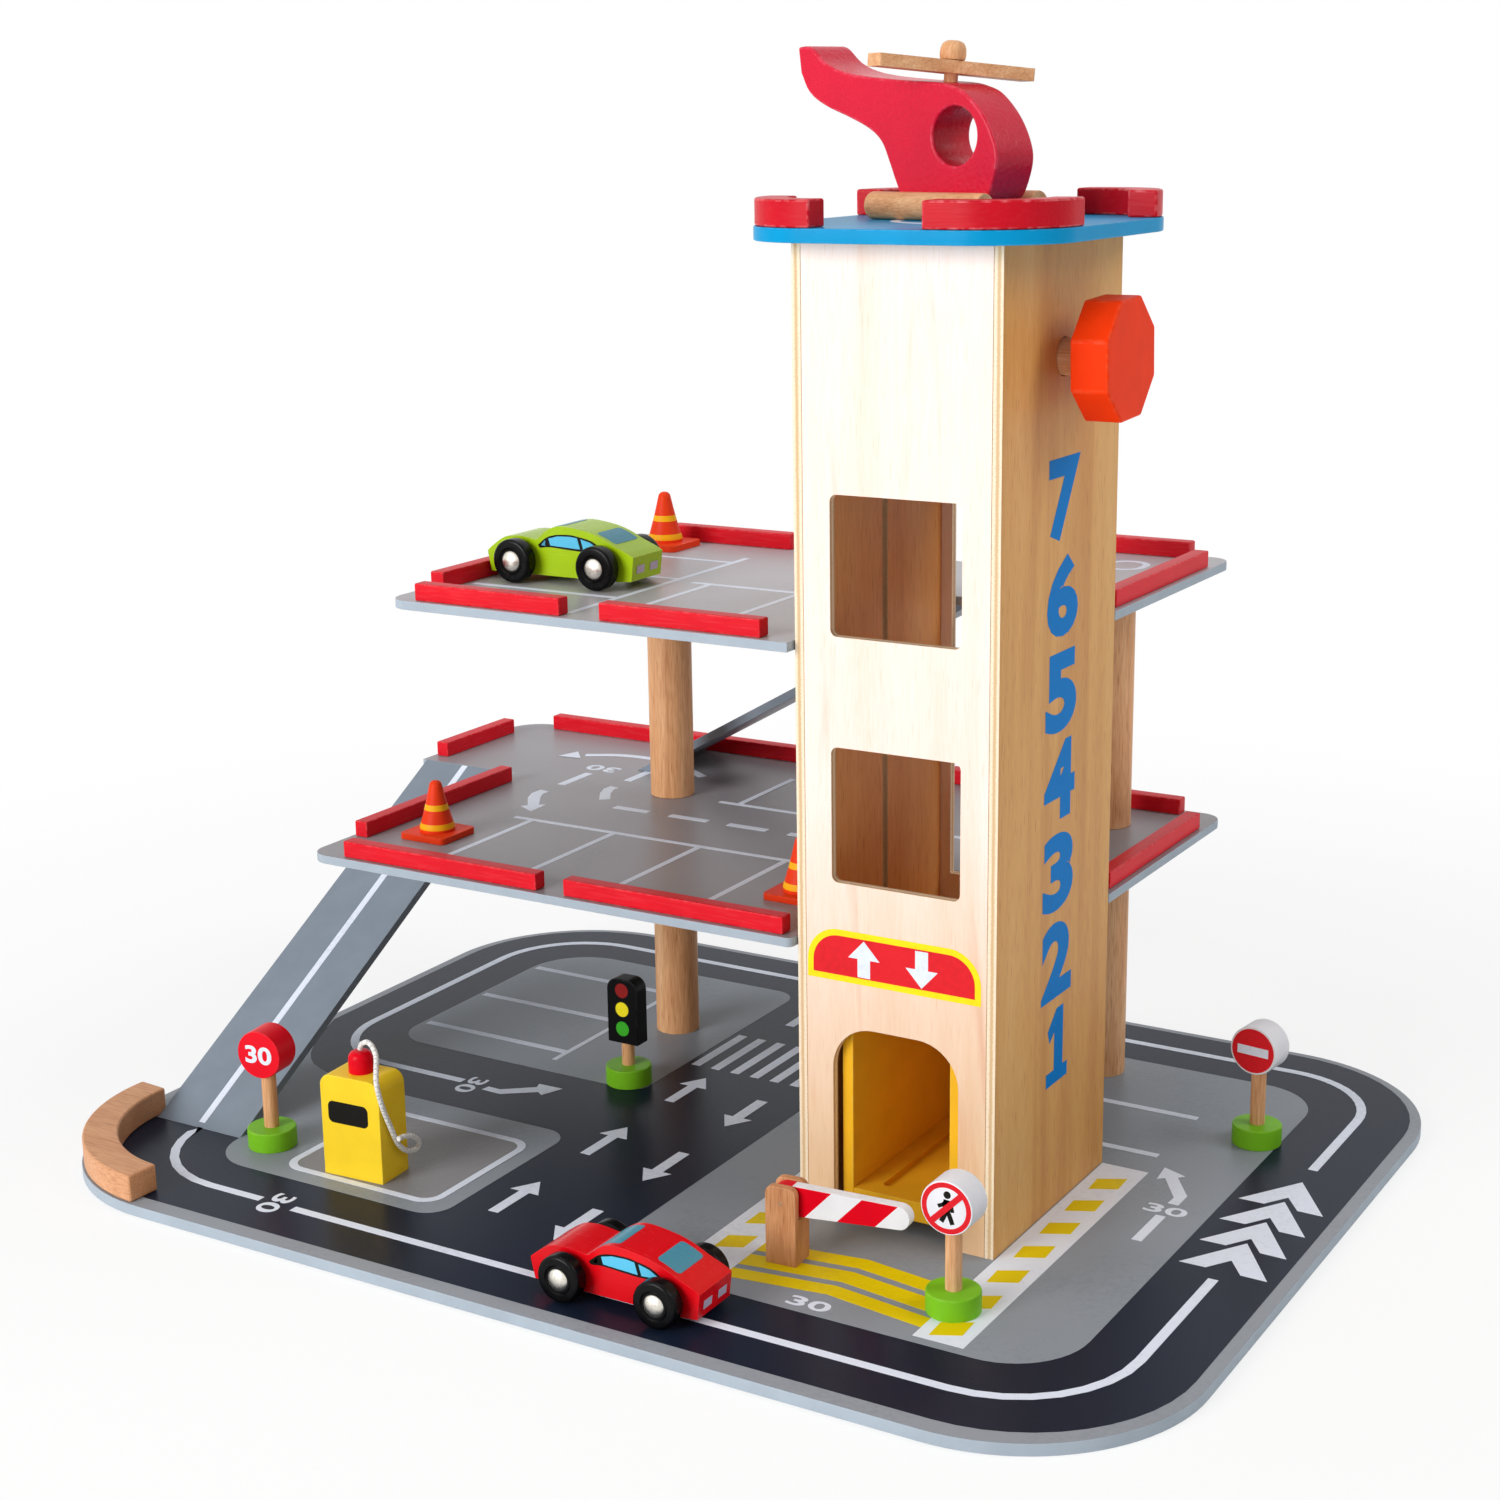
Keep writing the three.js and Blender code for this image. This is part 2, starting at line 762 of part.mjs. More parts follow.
// The cage is open at the front and back, with pegs that run in the guide slots
function makeCage() {
  const side = plyThickness + guideThickness + cageSideGap;
  const left = towerLeft + side;
  const right = towerRight - side;
  const front = towerFront + plyThickness + cageFrontGap;
  const back = towerBack - plyThickness - cageBackGap;
  const bottom = boardThickness + cageLift;
  const top = bottom + cageHeight;
  const floorTop = bottom + cageFloor;
  const barBack = towerY + cageBarWidth / 2;
  const pieces = [
    box([left, front, bottom], [left + cageWall, back, top]),
    box([right - cageWall, front, bottom], [right, back, top]),
    box([left, front, bottom], [right, back, floorTop]),
    box([left, barBack - cageBarWidth, top - cageBarHeight], [right, barBack, top]),
  ];
  for (const height of [bottom + pegMargin, top - pegMargin]) {
    const peg = across(pegRadius, pegReach + cageWall, coarse);
    pieces.push(peg.clone().translate(left - pegReach, towerY, height));
    pieces.push(peg.clone().translate(right - cageWall, towerY, height));
  }
  const grooves = [-1, 1].map((sign) => {
    const x = towerX + (sign * cageGrooveSpacing) / 2;
    const start = front + cageGrooveStart;
    const half = cageGrooveWidth / 2;
    const groove = outline([
      [x - half, start, half],
      [x + half, start, half],
      [x + half, back + cageGrooveStart],
      [x - half, back + cageGrooveStart],
    ]);
    return rising(groove, floorTop - cageGrooveDepth, cageGrooveDepth * 2);
  });
  add("lift_cage", cut(joined(...pieces), ...grooves), cageYellow);
}

// The rope hangs from the axle's near side down to the cage's top bar
function makeCrank() {
  const axleLeft = towerLeft + plyThickness + axleEndGap;
  const knobLeft = towerRight + knobGap;
  const axle = across(axleRadius, knobLeft - axleLeft, fine);
  add("crank_axle", axle.translate(axleLeft, towerY, axleHeight), beech);
  const corner = knobAcrossFlats / 2 / Math.cos(Math.PI / 8);
  const knob = across(corner, knobThickness, 8).rotateX(Math.PI / 8 + radians(knobTurn));
  add("crank_knob", knob.translate(knobLeft, towerY, axleHeight), knobOrange);
  const cageTop = boardThickness + cageLift + cageHeight;
  const rope = upright(ropeRadius, axleHeight - cageTop, coarse);
  const ropeY = towerY + axleRadius + ropeRadius + ropeClearance;
  add("lift_rope", rope.translate(towerX, ropeY, cageTop), cordWhite);
}

// The helicopter's own frame: X along the body, origin on the roof under the body's middle
function makeHelicopter() {
  const heli = new THREE.Group();
  heli.position.set(
    towerX + heliPlaceShares[0] * towerWidth,
    towerY + heliPlaceShares[1] * towerDepth,
    roofTop,
  );
  heli.rotation.z = radians(heliTurn);
  garage.add(heli);
  const scaled = (shares) =>
    shares.map(([x, z]) => new THREE.Vector2(x * heliLength, z * heliHeight));
  const shape = new THREE.Shape();
  const upper = scaled(heliTopShares);
  const under = scaled(heliUnderShares);
  shape.moveTo(upper[0].x, upper[0].y);
  shape.splineThru(upper.slice(1));
  shape.lineTo(under[0].x, under[0].y);
  shape.splineThru(under.slice(1));
  shape.closePath();
  const [holeX, holeZ] = [heliHoleShares[0] * heliLength, heliHoleShares[1] * heliHeight];
  const hole = deep(heliHoleRadius, heliThickness * 2, fine).translate(holeX, -heliThickness, holeZ);
  const body = facing(shape, -heliThickness / 2, heliThickness, 2);

  // The rotor's axis leans with the sloping back; its frame stands on the seat
  const rotorFrame = new THREE.Group();
  rotorFrame.position.set(rotorPlaceShare * heliLength, 0, rotorSeat);
  const axis = new THREE.Vector3(
    Math.sin(radians(rotorLean)) * Math.cos(radians(rotorTurn)),
    Math.sin(radians(rotorLean)) * Math.sin(radians(rotorTurn)),
    Math.cos(radians(rotorLean)),
  );
  rotorFrame.quaternion.setFromUnitVectors(new THREE.Vector3(0, 0, 1), axis);
  rotorFrame.updateMatrix();
  const pinHole = upright(pinRadius + pinClearance, pinDepth * 2)
    .translate(0, 0, -pinDepth)
    .applyMatrix4(rotorFrame.matrix);
  add("helicopter_body", cut(body, hole, pinHole), heliRed, heli);

  const bladeCorners = rectangle(-rotorLength / 2, rotorLength / 2, -rotorWidth / 2, rotorWidth / 2);
  const blade = rising(outline(bladeCorners), 0, rotorThickness).rotateZ(radians(rotorTurn));
  const bladeHole = upright(pinRadius + pinClearance, rotorThickness * 3).translate(0, 0, -rotorThickness);
  add("rotor", cut(blade, bladeHole), beech, rotorFrame);
  const headBottom = rotorThickness + pinLift;
  const pin = turned([
    [0, pinLift - pinDepth],
    [pinRadius, pinLift - pinDepth],
    [pinRadius, headBottom],
    ...profile(pinHeadShares, pinHeadRadius, pinHeadHeight, headBottom),
    [0, headBottom + pinHeadHeight],
  ]);
  add("rotor_pin", pin, beech, rotorFrame);
  heli.add(rotorFrame);

  // The skids are glued by a narrow flat to the body's two sides
  for (const [side, sign] of [["front", -1], ["rear", 1]]) {
    const start = heliThickness / 2 + gluedGap;
    const centre = sign * (start + skidRadius - skidFlat);
    const rod = across(skidRadius, skidLength).rotateX(Math.PI / medium);
    const flat = box(
      [-skidLength, Math.min(0, sign * start), -skidRadius],
      [skidLength, Math.max(0, sign * start), skidRadius * 3],
    );
    const skid = rod.translate(-skidLength / 2, centre, skidRadius * Math.cos(Math.PI / medium));
    add(`skid_${side}`, cut(skid, flat), beech, heli);
  }
}

// Signs and the light share one turned foot and post
const footProfile = (postRadius, postTop) => [
  [0, 0],
  [signBaseRadius, 0],
  [signBaseRadius, signBaseHeight],
  [postRadius, signBaseHeight],
  [postRadius, postTop],
  [0, postTop],
];

function makeSigns() {
  const signs = {
    sign_red: [redSignShares, redSignTurn],
    sign_no_entry: [noEntrySignShares, noEntryTurn],
    sign_walker: [walkerSignShares, 0],
  };
  for (const [name, [shares, turn]] of Object.entries(signs)) {
    const foot = turned(footProfile(signPostRadius, signHeadCentre));
    const head = deep(signHeadRadius, signHeadThickness, fine);
    head.translate(0, -signHeadThickness / 2, signHeadCentre);
    stand(add(name, joined(foot, head), signGreen), shares, boardThickness, turn);
  }
  const corners = rectangle(-lightWidth / 2, lightWidth / 2, lightBottom, lightTop, 0, lightWidth / 2);
  const head = facing(outline(corners), -lightDepth / 2, lightDepth);
  const foot = turned(footProfile(lightPostRadius, (lightBottom + lightTop) / 2));
  stand(add("traffic_light", joined(foot, head), lightBlack), lightShares, boardThickness);
}

function makePump() {
  const pump = new THREE.Group();
  stand(pump, pumpShares, boardThickness, pumpTurn);
  garage.add(pump);
  const corners = rectangle(-pumpWidth / 2, pumpWidth / 2, 0, pumpHeight, 0, pumpCornerRadius);
  add("pump_body", facing(outline(corners), -pumpDepth / 2, pumpDepth), pumpYellow, pump);
  const capProfile = profile(pumpCapShares, pumpCapRadius, pumpCapHeight);
  const cap = turned([[0, 0], ...capProfile, [0, pumpCapHeight]]);
  add("pump_cap", cap, capRed, pump).position.z = pumpHeight;
  const circle = new THREE.Shape();
  circle.absarc(0, 0, hoseRadius, 0, Math.PI * 2, false);
  const route = new THREE.CatmullRomCurve3(hoseRoute.map((point) => new THREE.Vector3(...point)));
  const hose = new THREE.ExtrudeGeometry(circle, {
    steps: hoseSteps,
    extrudePath: route,
    curveSegments: hoseSides,
    bevelEnabled: false,
  });
  const pumpTop = boardThickness + pumpHeight + pumpCapHeight;
  stand(add("pump_hose", hose, cordWhite), pumpShares, pumpTop);
}

// The barrier's arm swings on a pin between two cheeks
function makeBarrier() {
  const barrier = new THREE.Group();
  stand(barrier, barrierShares, boardThickness, barrierTurn);
  garage.add(barrier);
  const half = barrierWidth / 2;
  const face = outline(rectangle(-half, half, 0, barrierHeight, 0, barrierCornerRadius));
  const block = facing(face, -barrierDepth / 2, barrierDepth);
  const slotSide = barrierArmThickness / 2 + barrierArmSideGap;
  const slotFloor = barrierPinHeight - barrierArmRootRadius - barrierArmUnderGap;
  const slot = box([-barrierWidth, -slotSide, slotFloor], [barrierWidth, slotSide, barrierHeight * 2]);
  const hole = deep(barrierPinRadius + barrierPinClearance, barrierDepth * 2);
  hole.translate(0, -barrierDepth, barrierPinHeight);
  add("barrier_post", cut(block, slot, hole), beech, barrier);
  const pin = deep(barrierPinRadius, barrierDepth).translate(0, -barrierDepth / 2, barrierPinHeight);
  add("barrier_pin", pin, birch, barrier);
  const tipX = barrierArmReach;
  const tipZ = barrierPinHeight + barrierArmTipRise;
  const shape = new THREE.Shape();
  shape.absarc(0, barrierPinHeight, barrierArmRootRadius, Math.PI / 2, Math.PI * 1.5, false);
  shape.absarc(tipX, tipZ, barrierArmTipRadius, -Math.PI / 2, Math.PI / 2, false);
  shape.closePath();
  const armHole = hole.clone();
  const arm = facing(shape, -barrierArmThickness / 2, barrierArmThickness, coarse);
  add("barrier_arm", cut(arm, armHole), barrierWhite, barrier);
}

function makeCones() {
  const cones = {
    cone_first_left: [firstArea, farConeShares, firstDeckTop],
    cone_first_right: [firstArea, nearConeShares, firstDeckTop],
    cone_top: [topArea, highConeShares, topDeckTop],
  };
  const half = conePlate / 2;
  for (const [name, [area, shares, height]] of Object.entries(cones)) {
    const corners = rectangle(-half, half, -half, half, conePlateRadius);
    const plate = rising(outline(corners), 0, conePlateThickness);
    const bodyProfile = profile(coneBodyShares, coneFootRadius, coneHeight);
    const body = turned([[0, 0], ...bodyProfile, [0, coneHeight]]);
    standIn(area, add(name, joined(plate, body), coneOrange), shares, height);
  }
}

// A car's own frame: X from nose to tail, origin on the plane under the car's middle
function makeCar(colour, material) {
  const car = new THREE.Group();
  garage.add(car);
  const scaled = (list) =>
    list.map(([x, z]) => new THREE.Vector2((x - 0.5) * carLength, z * carHeight));
  const [first, ...top] = scaled(carTopShares);
  const shape = new THREE.Shape();
  shape.moveTo(first.x, first.y);
  shape.splineThru(top);
  for (const point of scaled(carUnderShares)) shape.lineTo(point.x, point.y);
  shape.closePath();
  const block = facing(shape, -carWidth / 2, carWidth, 2);
  const axles = { front: frontAxleShare, rear: rearAxleShare };
  const hole = deep(carAxleRadius + carAxleClearance, carWidth * 2).translate(0, -carWidth, wheelRadius);
  const holes = Object.values(axles).map((share) => hole.clone().translate((share - 0.5) * carLength, 0, 0));
  add(`car_${colour}_body`, cut(block, ...holes), material, car);
  const inner = carWidth / 2 + wheelGap;
  const outer = inner + wheelThickness;
  const half = [
    [carAxleRadius, inner],
    [wheelRadius - wheelEdge, inner],
    [wheelRadius, inner + wheelEdge],
    [wheelRadius, outer - wheelEdge],
    [wheelRadius - wheelEdge, outer],
    [hubRadius, outer],
    [hubRadius, outer + hubProud],
    [0, outer + hubProud],
  ];
  const whole = [...half.map(([r, y]) => [r, -y]).reverse(), ...half];
  for (const [end, share] of Object.entries(axles)) {
    const points = whole.map(([r, y]) => new THREE.Vector2(r, y));
    const turning = new THREE.LatheGeometry(points, medium);
    const wheels = add(`car_${colour}_${end}_wheels`, turning, tyreBlack, car);
    wheels.position.set((share - 0.5) * carLength, 0, wheelRadius);
  }
  return car;
}

makeBoard();
makeWheelStop();
makeDecks();
makeRamps();
makeRails();
makeColumns();
makeTower();
makeRoof();
makeCage();
makeCrank();
makeHelicopter();
makeSigns();
makePump();
makeBarrier();
makeCones();
stand(makeCar("red", carRed), redCarShares, boardThickness + carLift);
const greenCar = makeCar("green", carGreen);
standIn(topArea, greenCar, [0, greenCarShareY], topDeckTop + carLift);
greenCar.position.x += railInset + railWidth + carRailGap + carLength / 2;

export default garage;
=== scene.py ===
# %% [markdown]
# # A wooden toy parking garage with a lift
# This lesson dresses a wooden toy garage: a printed board, two decks, two ramps, a tower with a
# cranked lift, and the small toys that stand on it. The frame brings the plain solids in their
# right places. Each piece is modelled again here with its softened edges, and gets the paint,
# the print or the wood grain of the real one.

import math

import bmesh
import bpy
from mathutils import Matrix, Vector


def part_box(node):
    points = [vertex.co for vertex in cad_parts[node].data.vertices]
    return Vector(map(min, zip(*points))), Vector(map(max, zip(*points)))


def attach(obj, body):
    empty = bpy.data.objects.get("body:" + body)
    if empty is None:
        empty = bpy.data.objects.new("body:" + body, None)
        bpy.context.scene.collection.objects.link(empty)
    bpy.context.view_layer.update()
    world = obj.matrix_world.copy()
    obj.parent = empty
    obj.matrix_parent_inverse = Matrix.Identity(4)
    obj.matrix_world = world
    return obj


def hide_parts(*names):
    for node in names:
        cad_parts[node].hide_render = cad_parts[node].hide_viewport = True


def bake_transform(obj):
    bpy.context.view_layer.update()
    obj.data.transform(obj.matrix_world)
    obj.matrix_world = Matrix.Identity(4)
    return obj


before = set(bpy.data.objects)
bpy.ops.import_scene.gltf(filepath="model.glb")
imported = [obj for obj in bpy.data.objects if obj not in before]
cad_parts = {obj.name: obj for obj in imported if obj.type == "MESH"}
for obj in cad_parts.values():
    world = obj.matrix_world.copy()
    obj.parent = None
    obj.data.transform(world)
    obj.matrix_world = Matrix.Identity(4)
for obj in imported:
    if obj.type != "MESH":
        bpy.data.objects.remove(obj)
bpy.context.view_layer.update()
scene = bpy.context.scene
MM = 0.001
print("solids in the frame:", len(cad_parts))

# %% [markdown]
# ## The camera
# The photograph was taken from the front right, a little above the roof, with a short telephoto
# lens. Its place and its three angles were worked out from the straight edges of the board and
# the tower, so the camera's three axes are built from the angles and written into its matrix.

# %% The camera
lens_place = Vector((534.58, -885.27, 445.25)) * MM
heading, dip, roll = (math.radians(angle) for angle in (31.1764, 14.4711, -0.85))
forward = Vector((-math.sin(heading) * math.cos(dip), math.cos(heading) * math.cos(dip), -math.sin(dip)))
level = Vector((math.cos(heading), math.sin(heading), 0))
overhead = level.cross(forward)
axes = (
    level * math.cos(roll) + overhead * math.sin(roll),
    overhead * math.cos(roll) - level * math.sin(roll),
    -forward,
)
lens = bpy.data.cameras.new("camera")
lens.lens = 59.558
lens.sensor_width = 36
camera = bpy.data.objects.new("camera", lens)
camera.matrix_world = Matrix.Translation(lens_place) @ Matrix(axes).transposed().to_4x4()
scene.collection.objects.link(camera)
scene.camera = camera
print("camera at", [round(value, 4) for value in lens_place])

# %% [markdown]
# ## Colours and nodes
# Paints are written as the hex values that a screen shows, and a shader works in linear light,
# so one function turns the one into the other. A second one adds a node, sets what it is given
# and joins what it is handed: every finish below is built from that.

# %% Helpers for colours and nodes
def colour(code):
    """The linear colour of an sRGB hex code."""
    parts = [int(code[i:i + 2], 16) / 255 for i in (1, 3, 5)]
    return (*(p / 12.92 if p <= 0.04045 else ((p + 0.055) / 1.055) ** 2.4 for p in parts), 1)


def live(value):
    """A node's first output in use, or whatever else is handed in as it is."""
    if isinstance(value, bpy.types.Node):
        return next(socket for socket in value.outputs if socket.enabled)
    return value


def node(tree, kind, inputs=None, stops=(), **settings):
    """Adds one node: settings are its own properties, inputs are values, or sockets or nodes to join."""
    made = tree.nodes.new("ShaderNode" + kind)
    for name, value in settings.items():
        setattr(made, name, value)
    for name, value in (inputs or {}).items():
        value = live(value)
        if isinstance(value, bpy.types.NodeSocket):
            tree.links.new(value, made.inputs[name])
        else:
            made.inputs[name].default_value = value
    for i, (position, code) in enumerate(stops):
        band = made.color_ramp.elements
        stop = band[i] if i < 2 else band.new(position)
        stop.position = position
        stop.color = colour(code)
    return made


def new_finish(name, **plain):
    """A material and its tree, with one shader whose plain values are set on its own sockets."""
    material = bpy.data.materials.new(name)
    material.use_nodes = True
    tree = material.node_tree
    tree.nodes.clear()
    inputs = {key.replace("_", " ").title().replace("Ior", "IOR"): value for key, value in plain.items()}
    surface = node(tree, "BsdfPrincipled", inputs)
    node(tree, "OutputMaterial", {"Surface": surface})
    return material, tree


def dressed(material, *patterns):
    """Joins patterns to the shader's colour, roughness and normal, in that order; None skips one."""
    tree = material.node_tree
    for socket, pattern in zip(("Base Color", "Roughness", "Normal"), patterns):
        if pattern:
            tree.links.new(live(pattern), tree.nodes["Principled BSDF"].inputs[socket])
    return material


# A Mix node's factor and its two colours, and the settings that blend or multiply them
FACTOR, UNDER, OVER = 0, 6, 7
BLEND = {"data_type": "RGBA"}
TINT = {"data_type": "RGBA", "blend_type": "MULTIPLY"}
# The grain runs along one axis of the garage: a pattern is drawn out 15 times along it
ALONG = {"x": (1 / 15, 1, 1), "y": (1, 1 / 15, 1), "z": (1, 1, 1 / 15), "all": (1, 1, 1)}
WHITE, AXES = "#FFFFFF", "xyz"
print("grain is drawn out along", list(ALONG))

# %% [markdown]
# ## Bare wood
# Columns, posts, skids and the wheel stop are turned or sawn beech under a thin satin lacquer:
# pinkish tan, with soft growth bands, fine fibres and the short dark flecks that beech is known
# by. The tower is birch ply, paler and calmer, with broad brownish stains where the lacquer has
# gone deeper. Both are the same recipe with other colours and sizes, so one function makes them.

# %% Bare wood
def bare_wood(name, pale, middle, dark, along, band=0.007, fleck=0.0012, fleck_code="#B98A62",
              fibre="#E6D8CA", bump=0.12, stain=0.0, foot=WHITE):
    """Lacquered wood: band and fleck are widths in metres, stain a patch's share, foot the tint of the
    painted shade low down.
    """
    material, tree = new_finish(name, roughness=0.5, specular_ior_level=0.4)
    place = node(tree, "TexCoord").outputs["Object"]
    drawn = node(tree, "Mapping", {"Vector": place, "Scale": ALONG[along]})
    bands = node(tree, "TexNoise", {"Vector": drawn, "Scale": 1 / band, "Detail": 4, "Distortion": 0.5})
    tone = node(tree, "ValToRGB", {"Fac": bands}, ((0.34, dark), (0.5, middle), (0.66, pale)))
    fibres = node(tree, "TexNoise", {"Vector": drawn, "Scale": 1 / 0.0007, "Detail": 3})
    fine = node(tree, "ValToRGB", {"Fac": fibres}, ((0.3, fibre), (0.62, WHITE)))
    pores = node(tree, "TexVoronoi", {"Vector": drawn, "Scale": 1 / fleck})
    dots = node(tree, "ValToRGB", {"Fac": pores}, ((0.1, fleck_code), (0.22, WHITE)))
    woody = node(tree, "Mix", {FACTOR: 1.0, UNDER: tone, OVER: fine}, **TINT)
    flecked = node(tree, "Mix", {FACTOR: 0.55, UNDER: woody, OVER: dots}, **TINT)
    wide = node(tree, "TexNoise", {"Vector": drawn, "Scale": 1 / 0.024, "Detail": 3, "Distortion": 1.2})
    patch = node(tree, "MapRange", {"Value": wide, "From Min": 0.58, "From Max": 0.74, "To Max": stain})
    stained = node(tree, "Mix", {FACTOR: patch, UNDER: flecked, OVER: colour("#D98E5C")}, **BLEND)
    # Low on the piece the colour is multiplied by the foot tint: painted shade, for the light falling off
    # towards the foot
    height = node(tree, "SeparateXYZ", {"Vector": place}).outputs["Z"]
    lower = node(tree, "MapRange", {"Value": height, "From Min": 0.02, "From Max": 0.19,
                                    "To Min": 1.0, "To Max": 0.0})
    painted_low_shade = node(tree, "Mix", {FACTOR: lower, UNDER: stained, OVER: colour(foot)}, **TINT)
    sheen = node(tree, "MapRange", {"Value": fibres, "To Min": 0.42, "To Max": 0.6})
    relief = node(tree, "Bump", {"Height": fibres, "Strength": bump, "Distance": 0.0002})
    return dressed(material, painted_low_shade, sheen, relief)


# Turned and sawn beech: pinkish tan with short dark flecks
beech = {axis: bare_wood(f"lacquered_beech_{axis}", "#F0C092", "#E7B07F", "#DA9F6E", axis,
                         band=0.006, fleck=0.0011, stain=0.1) for axis in AXES}
# The barrier's post is a redder beech, oiled rather than lacquered
oiled_beech = bare_wood("oiled_beech", "#DEA474", "#D29566", "#C58658", "z")
# Rotary-cut birch: cream with faint wide bands on the front and back, tinted darker and yellower towards the
# foot as painted shade
birch = bare_wood("birch_veneer_front", "#FBE9E0", "#FAE6DB", "#F6DDCD", "z", band=0.03,
                  fleck_code="#F6E8DA", fibre="#FCF8F4", bump=0.05, stain=0.5, foot="#EED8B2")
# The side walls take the same birch painted browner, as painted shade on the sides turned away from the front
# lamp, with darker streaks
shaded_side_birch = bare_wood("birch_veneer_side_painted_shade", "#E0AF6C", "#D9A35C", "#CC924E", "z", band=0.02,
                       fleck_code="#C69862", fibre="#F4EADC", bump=0.06, stain=0.2)
# The pads inside the shaft take the same birch painted redder, as painted shade for the dim, warm light in
# the shaft, and stay bare
shaft_shade_birch = bare_wood("birch_pad_painted_shade", "#F0B673", "#EAAA64", "#DE9A54", "z", band=0.03,
                      fleck_code="#C88E52", fibre="#F2E6D6", bump=0.08, stain=0.1)
# The wheel stop is sawn across a wide board, so its bands are broad and faint
stop_beech = bare_wood("oiled_beech_stop", "#DDA57A", "#D69D72", "#CE9469", "x", band=0.02,
                       fleck=0.0011, stain=0.15)
print("woods:", [m.name for m in (*beech.values(), oiled_beech, birch, shaded_side_birch, shaft_shade_birch, stop_beech)])

# %% [markdown]
# ## Ply edges
# Where a sheet of ply is sawn through, its layers show as thin pale and brown lines that follow
# the sheet. They are wave bands laid across the thickness, one light and one dark to each pair
# of 1.3 mm layers.

# %% Ply edges
def ply_edge(axis):
    """The sawn edge of a birch ply sheet whose thickness lies along one axis."""
    material, tree = new_finish(f"sawn_ply_edge_{axis}", roughness=0.65, specular_ior_level=0.3)
    place = node(tree, "TexCoord").outputs["Object"]
    layers = node(tree, "TexWave", {"Vector": place, "Scale": 0.314 / 0.0027, "Distortion": 0.4, "Detail": 1},
                  bands_direction=axis.upper())
    fibres = node(tree, "TexNoise", {"Vector": place, "Scale": 1 / 0.0008, "Detail": 3})
    mixed = node(tree, "Math", {0: layers.outputs["Fac"], 1: fibres}, operation="MULTIPLY")
    tone = node(tree, "ValToRGB", {"Fac": mixed}, ((0.08, "#D8B68A"), (0.4, "#F3E0C4")))
    relief = node(tree, "Bump", {"Height": mixed, "Strength": 0.25, "Distance": 0.0002})
    return dressed(material, tone, None, relief)


edge = {axis: ply_edge(axis) for axis in AXES}
print("ply edges:", [m.name for m in edge.values()])

# %% [markdown]
# ## Paint
# The rails, cars, signs and the roof are sprayed with a water-based toy lacquer. It is even in colour, but it
# lets the grain through as a faint relief, and on the rails and arcs as thin combed streaks. It is thinner on
# rounded edges, where the wood makes it look lighter, and the same paler edge also stands in for the
# highlight that a rounded edge catches, a painted highlight: each piece carries a face attribute that is 1 on
# its softened edges, and a noise breaks it up.

# %% Paint
def toy_paint(name, code, worn_and_lit=WHITE, rough=0.36, along="x", relief=0.25, shine=0.1, ripple=0.0011,
              wear_and_highlight=0.18, streaks=0.0):
    """Lacquer on wood: its second colour is that of the paler edges, worn paint and painted highlight both,
    and the last two values say how far edges and streaks show.
    """
    material, tree = new_finish(name, roughness=rough, specular_ior_level=shine)
    place = node(tree, "TexCoord").outputs["Object"]
    drawn = node(tree, "Mapping", {"Vector": place, "Scale": ALONG[along]})
    clouds = node(tree, "TexNoise", {"Vector": place, "Scale": 1 / 0.016, "Detail": 3})
    soft = node(tree, "ValToRGB", {"Fac": clouds}, ((0.3, "#F4F4F4"), (0.7, WHITE)))
    body = node(tree, "Mix", {FACTOR: 1.0, UNDER: colour(code), OVER: soft}, **TINT)
    # The softened edges turn paler: worn paint, and a painted highlight along the rounded edges
    edges = node(tree, "Attribute", attribute_name="worn_and_lit").outputs["Fac"]
    chips = node(tree, "TexNoise", {"Vector": place, "Scale": 1 / 0.003, "Detail": 4})
    patch = node(tree, "MapRange", {"Value": chips, "From Min": 0.42, "From Max": 0.66, "To Max": wear_and_highlight})
    edge_share = node(tree, "Math", {0: edges, 1: patch}, operation="MULTIPLY")
    grain = node(tree, "TexNoise", {"Vector": drawn, "Scale": 1 / ripple, "Detail": 3})
    combed = node(tree, "MapRange", {"Value": grain, "From Min": 0.48, "From Max": 0.72, "To Max": streaks})
    paler_share = node(tree, "Math", {0: edge_share, 1: combed}, operation="MAXIMUM")
    coloured = node(tree, "Mix", {FACTOR: paler_share, UNDER: body, OVER: colour(worn_and_lit)}, **BLEND)
    sheen = node(tree, "MapRange", {"Value": grain, "To Min": rough - 0.05, "To Max": rough + 0.08})
    bumps = node(tree, "Bump", {"Height": grain, "Strength": relief, "Distance": 0.0002})
    return dressed(material, coloured, sheen, bumps)


# The rails' thin coat, combed by the grain
rail_red = {axis: toy_paint(f"red_rail_lacquer_{axis}", "#DE1426", "#F06A6C", along=axis, relief=0.4,
                            ripple=0.0008, wear_and_highlight=0.35, streaks=0.11) for axis in "xy"}
arc_red = toy_paint("crimson_arc_lacquer", "#C80E22", "#E88084", shine=0.12, relief=0.4, wear_and_highlight=0.55,
                    streaks=0.03)
roof_blue = toy_paint("blue_roof_lacquer", "#0595CC", "#7FC4F0", rough=0.32, shine=0.07)
cage_yellow = toy_paint("yellow_cage_stain", "#F8BC28", "#F8DC80", rough=0.5, along="z")
knob_orange = toy_paint("orange_knob_lacquer", "#F83C0C", "#F6805C", relief=0.4, shine=0.04)
